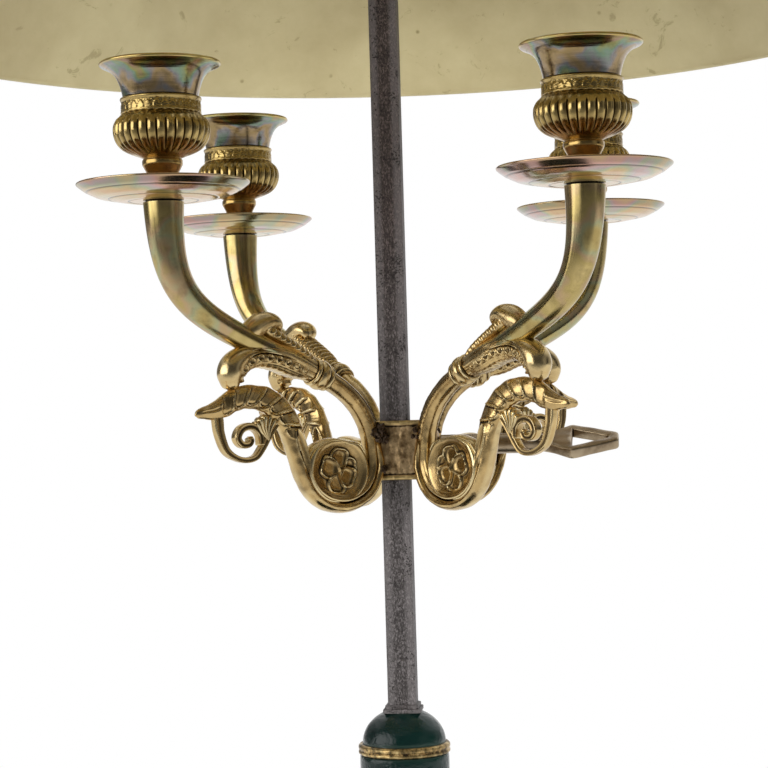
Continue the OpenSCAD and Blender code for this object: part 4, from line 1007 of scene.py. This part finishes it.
# Leaf under the horn: from the top edge of each face a ridge, a channel and a second ridge, then a row of small
# loops (a raised ring around a hollow), and a smooth band with a waved lower edge; its tip turns down and back.
def lowerLeaf():
    path, s = smoothPath([(41.2, 29.4, 2.3, 3.2), (45.5, 30.5, 3.5, 4.1), (51, 32.2, 4.1, 4.5),
                          (58, 34.5, 4.1, 4.7), (65, 35.3, 3.9, 4.7), (70, 34.0, 3.5, 4.5),
                          (73.2, 31.2, 3.0, 4.2), (73.8, 28.2, 2.2, 3.6), (72.6, 26.4, 0.8, 2.2)], 200)
    s = s[:, None]
    level, side = faceSection(84)
    deep = level * path[:, 2, None]
    period = 4.1
    along = ((s + 0.6) / period) % 1.0 - 0.5
    d = np.hypot(along * period, 1.15 * (deep + 0.5))
    shown = rise(s, 2, 5)
    relief = (0.85 * ridge(deep, 2.9, 0.4) - 1.1 * ridge(deep, 2.15, 0.4) + 0.7 * ridge(deep, 1.45, 0.3)
              - 0.3 * ridge(deep, 1.0, 0.25))
    relief = relief + 0.5 * ridge(d, 1.3, 0.35) - 0.3 * ridge(d, 0, 0.7) + 0.3 * ridge(deep, -2.3, 0.35)
    wave = 0.16 * np.abs(np.cos(math.pi * s / 3.0)) * np.clip(-level, 0, 1) ** 2
    height = path[:, 3, None] * dome(level) ** 0.55 + relief * shown * dome(level) ** 0.5
    return carried(path, deep - wave, side * np.maximum(height, 0))


# Cap of the upper leaf, carried from the curled tip over the top and down to the horn.
capLine = [(57.4, 43.6, 0.4, 1.0), (56.4, 45.0, 1.9, 3.0), (57.2, 46.9, 2.9, 4.1), (60, 47.7, 3.6, 4.6),
           (63.5, 46.7, 4.2, 4.7), (67, 44.7, 3.9, 4.4), (69.8, 42.8, 2.6, 3.2), (72, 41.5, 0.4, 0.8)]

# Curl of the lower leaf: it rolls over the leaf's end, swells and comes down on the foliage in a blunt tip.
curlLine = [(62.5, 36.3, 0.4, 1.2), (65, 36.4, 2.2, 3.4), (68.6, 36.2, 3.2, 4.2), (72.4, 34.9, 3.9, 4.8),
            (75.4, 32.4, 4.5, 5.1), (76.6, 29.4, 4.6, 5.1), (76.6, 26.6, 3.7, 4.2), (76.2, 24.6, 2.6, 3.0),
            (76.0, 23.2, 0.4, 0.8)]
leafParts = [part(grid) for grid in (
    calyx(), upperLeaf(), lowerLeaf(), strand(capLine, 90, 48), strand(curlLine, 90, 48))]


# Horn: a Bezier curve that leaves on the cuff's slope and ends upright, with faint facets and a narrow neck
# painted dark as the shade of the gap under the pan.
horn = {"foot": 4.3, "top": 7.1, "lead": 36.0, "upright": 33.0, "reach": 102.3, "rise": 89.2, "neck": 0.4}
f = np.linspace(-0.1, 1, 130)[:, None]
g = np.clip(f, 0, 1)
p0, p3 = cuff["end"], np.array([horn["reach"], horn["rise"]])
p1, p2 = p0 + horn["lead"] * cuffDir, p3 - np.array([0, horn["upright"]])
hornPath = (1 - g) ** 3 * p0 + 3 * g * (1 - g) ** 2 * p1 + 3 * g * g * (1 - g) * p2 + g ** 3 * p3
hornPath = hornPath + np.minimum(f, 0) * 80 * cuffDir
neckRows = p3 - np.array([[0, horn["neck"] + 0.2], [0, horn["neck"]], [0, horn["neck"] - 0.1], [0, 0]])
hornPath = np.vstack([hornPath[hornPath[:, 1] < horn["rise"] - horn["neck"] - 0.4], neckRows])
upwards = np.clip((hornPath[:, 1:] - p0[1]) / (p3[1] - p0[1]), 0, 1)
hornRadius = horn["foot"] + (horn["top"] - horn["foot"]) * upwards ** 1.1
hornRadius[-2:] -= 0.8
c, sn, t = section(64)
facets = 1 + 0.006 * np.cos(7 * t + 0.6) + 0.004 * np.cos(11 * t)
# The neck's rows take tone 1, where the dirt colour is painted shade of the gap under the pan.
hornNeckShade = np.zeros(len(hornPath))
hornNeckShade[-3:] = 1
hornParts = [part(carried(hornPath, hornRadius * c * facets, hornRadius * sn * facets), tone=hornNeckShade[:, None])]


# Pan, cup and liner: turned about the candle's axis, heights over the pan's seat.
pan = {"r": 30.0, "depth": 5.7, "t": 1.2, "flat": 14.1, "grooves": (26.4, 18.7, 11.9), "lip": (27.0, 28.2)}
r, depth, t1 = pan["r"], pan["depth"], pan["t"]
panShape = [(0.5, 0), (pan["flat"], 0), (r * 0.76, depth * 0.28), (r * 0.9, depth * 0.62), (r - 0.15, depth),
            (r, depth + t1 * 0.35), (r - 0.3, depth + t1 * 0.75), (r - t1, depth + t1 * 0.6),
            (r * 0.89 - t1 * 0.4, depth * 0.62 + t1), (r * 0.75, depth * 0.28 + t1), (pan["flat"], t1),
            (0.5, t1)]
panProfile = softProfile(panShape, 0.42, 3)
under = (np.arange(len(panProfile)) < np.argmax(panProfile[:, 0])).astype(float)
for at in pan["grooves"]:
    panProfile[:, 1] += 0.24 * under * ridge(panProfile[:, 0], at, 0.3)
# The grooves are darkened; the raised lip is darkened thinly as a painted reflection of dark surroundings.
# Darker grooves, and a painted reflection on the lip, carried as tone.
grooveDark = under * sum(ridge(panProfile[:, 0], at, 0.34) for at in pan["grooves"])
panGroovesAndPaintedReflection = np.clip(np.maximum(0.85 * grooveDark, 0.33 * under * rise(panProfile[:, 0], *pan["lip"])), 0, 1)
panParts = [part(turned(panProfile, 128), tone=panGroovesAndPaintedReflection[:, None])]

cup = {"z": 1.2, "neckH": 14.3, "neckR": 7.0, "bulbR": 16.6, "bulbH": 14.1, "bandR": 14.0, "bandH": 5.9,
       "lobes": 30, "boreR": 12.4, "floor": 17.4}
bulbZ = cup["z"] + cup["neckH"]
bandZ = bulbZ + cup["bulbH"]
mouthZ = bandZ + cup["bandH"]
n, b, bh = cup["neckR"], cup["bulbR"], cup["bulbH"]
# Foot and neck: a small foot, a waist, and a collar with a turned groove under the bulb.
neckShape = [(0.5, cup["z"]), (0.92 * n, cup["z"]), (0.95 * n, cup["z"] + 0.7), (0.82 * n, cup["z"] + 2.0),
             (0.72 * n, cup["z"] + 4.0), (0.72 * n, bulbZ - 7.5), (0.8 * n, bulbZ - 5.6),
             (0.97 * n, bulbZ - 3.4), (n, bulbZ - 3.0), (n, bulbZ - 1.3), (0.93 * n, bulbZ - 1.1),
             (0.93 * n, bulbZ - 0.8), (n, bulbZ - 0.6)]
bulbRows = [(0.46, -0.02), (0.62, 0.05), (0.79, 0.15), (0.9, 0.27), (0.96, 0.39), (0.99, 0.5), (1.0, 0.62),
            (0.988, 0.75), (0.94, 0.87), (0.885, 0.95), (0.845, 1.0)]
bulbShape, _ = smoothPath([(b * x, bulbZ + bh * y) for x, y in bulbRows], 50)
bandShape = [(cup["bandR"] - 0.35, bandZ + 0.25), (cup["bandR"] - 0.05, bandZ + 0.7),
             (cup["bandR"] - 0.3, bandZ + 1.3), (cup["bandR"] - 0.3, mouthZ - 1.3),
             (cup["bandR"] - 0.1, mouthZ - 1.0), (cup["bandR"] + 0.1, mouthZ - 0.6),
             (cup["bandR"], mouthZ - 0.1), (cup["bandR"] - 0.5, mouthZ), (cup["boreR"], mouthZ)]
cupProfile = np.vstack([softProfile(neckShape, 0.5, 2), bulbShape, softProfile(bandShape, 0.24, 1),
                        [(cup["boreR"], cup["floor"]), (0.5, cup["floor"])]])
a = np.arange(240)[None] * tau / 240
z = cupProfile[:, 1, None]
outside = (np.arange(len(cupProfile)) < len(cupProfile) - 3)[:, None].astype(float)
bulge = (z - bulbZ) / bh
# Gadroons: rounded ribs between narrow grooves, each ending in an arch with a shallow dip above it.
rib = np.abs(np.sin(cup["lobes"] * a / 2))
arch = 0.80 + 0.14 * rib ** 0.6
mask = rise(bulge, 0.0, 0.14) * (1 - rise(bulge, arch - 0.03, arch + 0.05)) * outside
grow = mask * (1.0 * (rib ** 0.65 - 1) + 0.2) - 0.35 * ridge(bulge, arch + 0.07, 0.035) * outside
# Band: rounded leaves stand up from its lower edge with a fine stipple between them.
up = (z - bandZ) / cup["bandH"]
leafEdge = 0.3 + 0.4 * np.abs(np.cos(cup["lobes"] * a / 2)) ** 0.7
onBand = rise(up, 0.14, 0.2) * (1 - rise(up, 0.74, 0.8)) * outside
leafMask = 1 - rise(up, leafEdge - 0.06, leafEdge + 0.06)
stipple = np.sin(75 * a + 3 * np.sin(7 * z)) * np.sin(tau * z / 1.1 + 5 * np.sin(13 * a))
grow = grow + onBand * (0.18 * leafMask - 0.1 + 0.16 * stipple * (1 - 0.6 * leafMask)
                        - 0.18 * ridge(up, leafEdge, 0.07))
copper = (1 - rise(z, bulbZ - 0.6, bulbZ + 1.2)) * outside
cupParts = [part(turned(cupProfile, 240, grow), tone=copper)]

liner = {"socketR": 11.2, "r": 12.3, "floor": 20.0, "socketZ": 21.0}
# Flare of the liner's outside, then its rolled lip, then the inside back down to the candle's socket.
flareShape, _ = smoothPath([(13.0, mouthZ + 0.05), (13.5, mouthZ + 2.6), (14.3, mouthZ + 5.2),
                            (15.6, mouthZ + 7.8), (17.6, mouthZ + 9.7), (19.7, mouthZ + 10.7),
                            (20.7, mouthZ + 11.2), (21.0, mouthZ + 11.8), (20.6, mouthZ + 12.4),
                            (19.9, mouthZ + 12.3), (18.9, mouthZ + 11.4), (16.8, mouthZ + 10.2),
                            (14.6, mouthZ + 7.9), (13.1, mouthZ + 5.0), (12.3, mouthZ + 2.4),
                            (11.6, mouthZ + 0.4), (liner["socketR"], 35.6)], 92)
linerProfile = np.vstack([[(0.5, liner["floor"]), (liner["r"] - 0.4, liner["floor"]),
                           (liner["r"], liner["floor"] + 0.4), (liner["r"], mouthZ + 0.03)], flareShape,
                          [(liner["socketR"], liner["socketZ"]), (0.5, liner["socketZ"])]])
linerParts = [part(turned(linerProfile, 128))]

for i in range(1, 5):
    for name, parts, finish, body, node, place in (
            ("castScroll", scrollParts, "castBrass", "arms", "arm_scroll", atBranch),
            ("leafCup", leafParts, "castBrass", "arms", "leaf_cup", atBranch),
            ("brassHorn", hornParts, "hornBrass", "arms", "arm_horn", atBranch),
            ("dripPan", panParts, "panBrass", "arms", "drip_pan", atSeat),
            ("candleCup", cupParts, "cupBrass", "arms", "candle_cup", atSeat),
            ("candleLiner", linerParts, "linerBrass", f"liner_{i}", "candle_liner", atSeat)):
        makePiece(f"{name}{i}", parts, finish, body, f"{node}_{i}", place(i))
print("branches made")


# Shade: thin cone with both edges rolled outwards over a wire.
shade = {"rim": 210.0, "top": 142.0, "low": 402.3, "high": 540.3, "sheet": 0.8, "roll": 1.6, "out": 1.2,
         "dent": 0.0016, "dentMm": 130}
lean = (shade["rim"] - shade["top"]) / (shade["high"] - shade["low"])


# Section of the wall: up the outside, round the upper roll, down the inside, round the lower roll.
def shadeProfile():
    half, roll, out = shade["sheet"] / 2, shade["roll"], shade["out"]
    zs = np.linspace(shade["low"] + roll, shade["high"] - roll, 56)
    radius = shade["rim"] - (zs - shade["low"]) * lean
    up = np.stack([radius + half, zs], -1)
    down = np.stack([radius - half, zs], -1)[::-1]
    a = np.linspace(-0.35 * math.pi, math.pi * 1.02, 22)
    upper = np.stack([shade["top"] + out + roll * np.cos(a), shade["high"] + roll * np.sin(a)], -1)
    a = np.linspace(-math.pi * 1.02, 0.35 * math.pi, 22)
    lower = np.stack([shade["rim"] + out + roll * np.cos(a), shade["low"] + roll * np.sin(a)], -1)
    tones = np.r_[np.zeros(len(up)), np.zeros(len(upper)), np.ones(len(down)), a < -0.36 * math.pi]
    return np.vstack([up, upper, down, lower]), tones


profile, tones = shadeProfile()
wall = turned(profile, 256)
z = profile[:, 1]
middle = rise(z, shade["low"] + 3, shade["low"] + 30) * (1 - rise(z, shade["high"] - 40, shade["high"] - 20))
# The wall is a little out of round between its two edges.
wall[..., :2] *= (1 + shade["dent"] * middle[:, None] * wander(wall, shade["dentMm"], 91))[..., None]
makePiece("shadeWall", [part(wall, along=True, tone=tones[:, None])], "shadePaint", "shade", "shade_wall")

# Spider: four flat strips whose ends bend down along the wall.
spider = {"halfThick": 0.8, "halfWide": 5.5, "tab": 14.0, "bend": 0.6, "gap": 0.05, "standOff": 0.85}
strips = []
stripZ = nodeBox("shade_spider")[1][2] - spider["halfThick"]
# Radius of the strip's outer end: the wall's middle less half the sheet, a gap and half the strip.
wallR = shade["rim"] - (stripZ - shade["low"]) * lean - shade["sheet"] / 2 - spider["gap"] - spider["standOff"]
down = np.array([lean, -1.0]) / math.hypot(lean, 1)
for k in range(4):
    turn = math.radians(90 * k)
    startR = sleeve["half"] + hub[0] * math.cos(turn)
    bendR, tab = wallR - spider["bend"], spider["tab"]
    tabEnd = (bendR + down[0] * tab, stripZ + down[1] * tab)
    corners = softProfile([(startR, stripZ), (bendR, stripZ), tabEnd], 1.0, 3)
    c, sn, _ = section(28, 0.22)
    nought = 0 * corners[:, :1]
    band = carried(corners, spider["halfThick"] * c + nought, spider["halfWide"] * sn + nought)
    ct, st = math.cos(turn), math.sin(turn)
    out, across, height = np.moveaxis(band, -1, 0)
    strips.append(part(np.stack([out * ct - across * st, out * st + across * ct, height], -1)))
makePiece("shadeSpider", strips, "blackIron", "shade", "shade_spider")

# The solids that stay as they are get a finish of their own.
for nodes, finish in (
        (("base_felt",), "felt"), (("base_plate",), "tinplate"), (("base_weight",), "castIron"),
        (("stem_washer", "stem_nut", "cup_studs", "shade_wires"), "steel"), (("spider_rivets",), "blackIron"),
        (("arm_pad", "shade_pad"), "turnedBrass")):
    for node in nodes:
        for place in bpy.data.objects[node].material_slots:
            place.material = skins[finish]
print("shade made")


# Studio: a floor that fades to white away from the lamp, a white ground behind, soft lights, and a camera at
# the height of the sleeve that looks slightly up. On the floor, fade gives the distances in metres between
# which it turns white, and dark and glow give, from front to back, how bright polished metal sees it.
def floorSkin(user):
    skin, add, shade = newSkin("pale_studio_floor")
    nodes = skin.node_tree.nodes
    shade({"Base Color": colour(user["colour"]), "Roughness": 0.9, "Specular IOR Level": 0.1})
    place = add("TexCoord", {}, "Object")
    away = add("VectorMath", {0: place}, "Value", operation="LENGTH")
    fade = add("MapRange", {"Value": away, "From": user["fade"]}, interpolation_type="SMOOTHSTEP")
    front = add("SeparateXYZ", {"Vector": place}, 1)
    glow = add("MapRange", {"Value": front, "From": user["dark"], "To": user["glow"]})
    rays = add("LightPath", {}, None)
    seen = add("Math", {0: rays["Is Camera Ray"], 1: fade}, operation="MULTIPLY")
    plain, mirror = (add("Emission", {"Strength": strength}) for strength in (1.0, glow))
    surface = add("MixShader", {0: seen, 1: nodes["Principled BSDF"].outputs[0], 2: plain})
    surface = add("MixShader", {0: rays["Is Glossy Ray"], 1: surface, 2: mirror})
    setInputs(skin.node_tree, nodes["Material Output"], {"Surface": surface})
    return skin


bpy.ops.mesh.primitive_plane_add(size=12.0, location=(0, 0, 0))
floor = bpy.context.object
floor.name = "studioFloor"
floor.data.materials.append(floorSkin({"colour": "#ecebe9", "fade": (0.26, 0.6), "dark": (-0.9, -0.25),
                                       "glow": (0.25, 1.0)}))

world = bpy.data.worlds.new("studio")
bpy.context.scene.world = world
world.use_nodes = True
world.node_tree.nodes.clear()
add = partial(addNode, world.node_tree)
# Polished metal sees a dark front, a bright back and the panels; everything else sees the ambient white.
studio = {"ambient": 0.6, "front": 0.09, "back": 1.0, "turn": (-0.25, 0.45), "darkest": 0.03, "panels": [
    # Each panel's direction, its edge as a cosine, its softness, and the brightness it adds in reflections.
    ((-0.80, -0.50, 0.12), 0.86, 0.06, 2.8), ((0.92, -0.30, 0.20), 0.94, 0.04, 0.2),
    ((-0.1, -0.3, 0.95), 0.86, 0.08, 0.35), ((0.85, 0.35, 0.0), 0.86, 0.09, -0.62),
    ((-0.82, 0.53, 0.0), 0.825, 0.1, -0.75)]}
way = add("TexCoord", {}, "Generated")
depth = add("SeparateXYZ", {"Vector": way}, 1)
glow = add("MapRange", {"Value": depth, "From": studio["turn"], "To": (studio["front"], studio["back"])},
           interpolation_type="SMOOTHSTEP")
for direction, edge, soft, gain in studio["panels"]:
    dot = add("VectorMath", {0: way, 1: Vector(direction).normalized()}, "Value", operation="DOT_PRODUCT")
    patch = add("MapRange", {"Value": dot, "From": (edge - soft, edge + soft), "To": (0, gain)},
                interpolation_type="SMOOTHSTEP")
    glow = add("Math", {0: glow, 1: patch}, operation="ADD")
glow = add("Math", {0: glow, 1: studio["darkest"]}, operation="MAXIMUM")
rays = add("LightPath", {}, None)
plain, fill, mirror = (add("Background", {"Color": (1, 1, 1, 1), "Strength": strength})
                       for strength in (1.0, studio["ambient"], glow))
seen = add("MixShader", {0: rays["Is Glossy Ray"], 1: fill, 2: mirror})
seen = add("MixShader", {0: rays["Is Camera Ray"], 1: seen, 2: plain})
add("OutputWorld", {"Surface": seen}, None)


# Soft lamp; polished metal sees the panels above instead of it.
def areaLight(name, place, aim, size, power):
    data = bpy.data.lights.new(name, "AREA")
    data.size, data.energy = size, power
    light = bpy.data.objects.new(name, data)
    light.location = place
    light.rotation_euler = (Vector(aim) - Vector(place)).to_track_quat("-Z", "Y").to_euler()
    light.visible_glossy = False
    bpy.context.scene.collection.objects.link(light)


areaLight("keyLight", (-1.5, -1.5, 0.35), (0.05, 0.1, 0.42), 0.9, 30)
areaLight("fillLight", (1.5, -1.3, 0.4), (0, 0, 0.42), 1.2, 62)
areaLight("topLight", (0.1, 0.3, 2.1), (0, 0, 0.4), 1.2, 12)

# Camera: its place in metres, its azimuth, pitch and roll in degrees, its lens and sensor width in mm.
view = {"place": (0.0840, -0.7719, 0.2513), "azimuth": 6.49, "pitch": 0.71, "roll": 1.64, "lens": 96.99,
        "sensor": 36.0}
azimuth, pitch, roll = (math.radians(view[k]) for k in ("azimuth", "pitch", "roll"))
right = Vector((math.cos(azimuth), math.sin(azimuth), 0))
forward = Vector((-math.sin(azimuth) * math.cos(pitch), math.cos(azimuth) * math.cos(pitch), math.sin(pitch)))
up = right.cross(forward)
right, up = right * math.cos(roll) - up * math.sin(roll), right * math.sin(roll) + up * math.cos(roll)
lens = bpy.data.cameras.new("mainView")
lens.lens, lens.sensor_width = view["lens"], view["sensor"]
camera = bpy.data.objects.new("mainView", lens)
camera.matrix_world = Matrix((
    (right.x, up.x, -forward.x, view["place"][0]), (right.y, up.y, -forward.y, view["place"][1]),
    (right.z, up.z, -forward.z, view["place"][2]), (0, 0, 0, 1)))
bpy.context.scene.collection.objects.link(camera)
bpy.context.scene.camera = camera
bpy.context.scene.view_settings.view_transform = "Standard"
print("studio made")
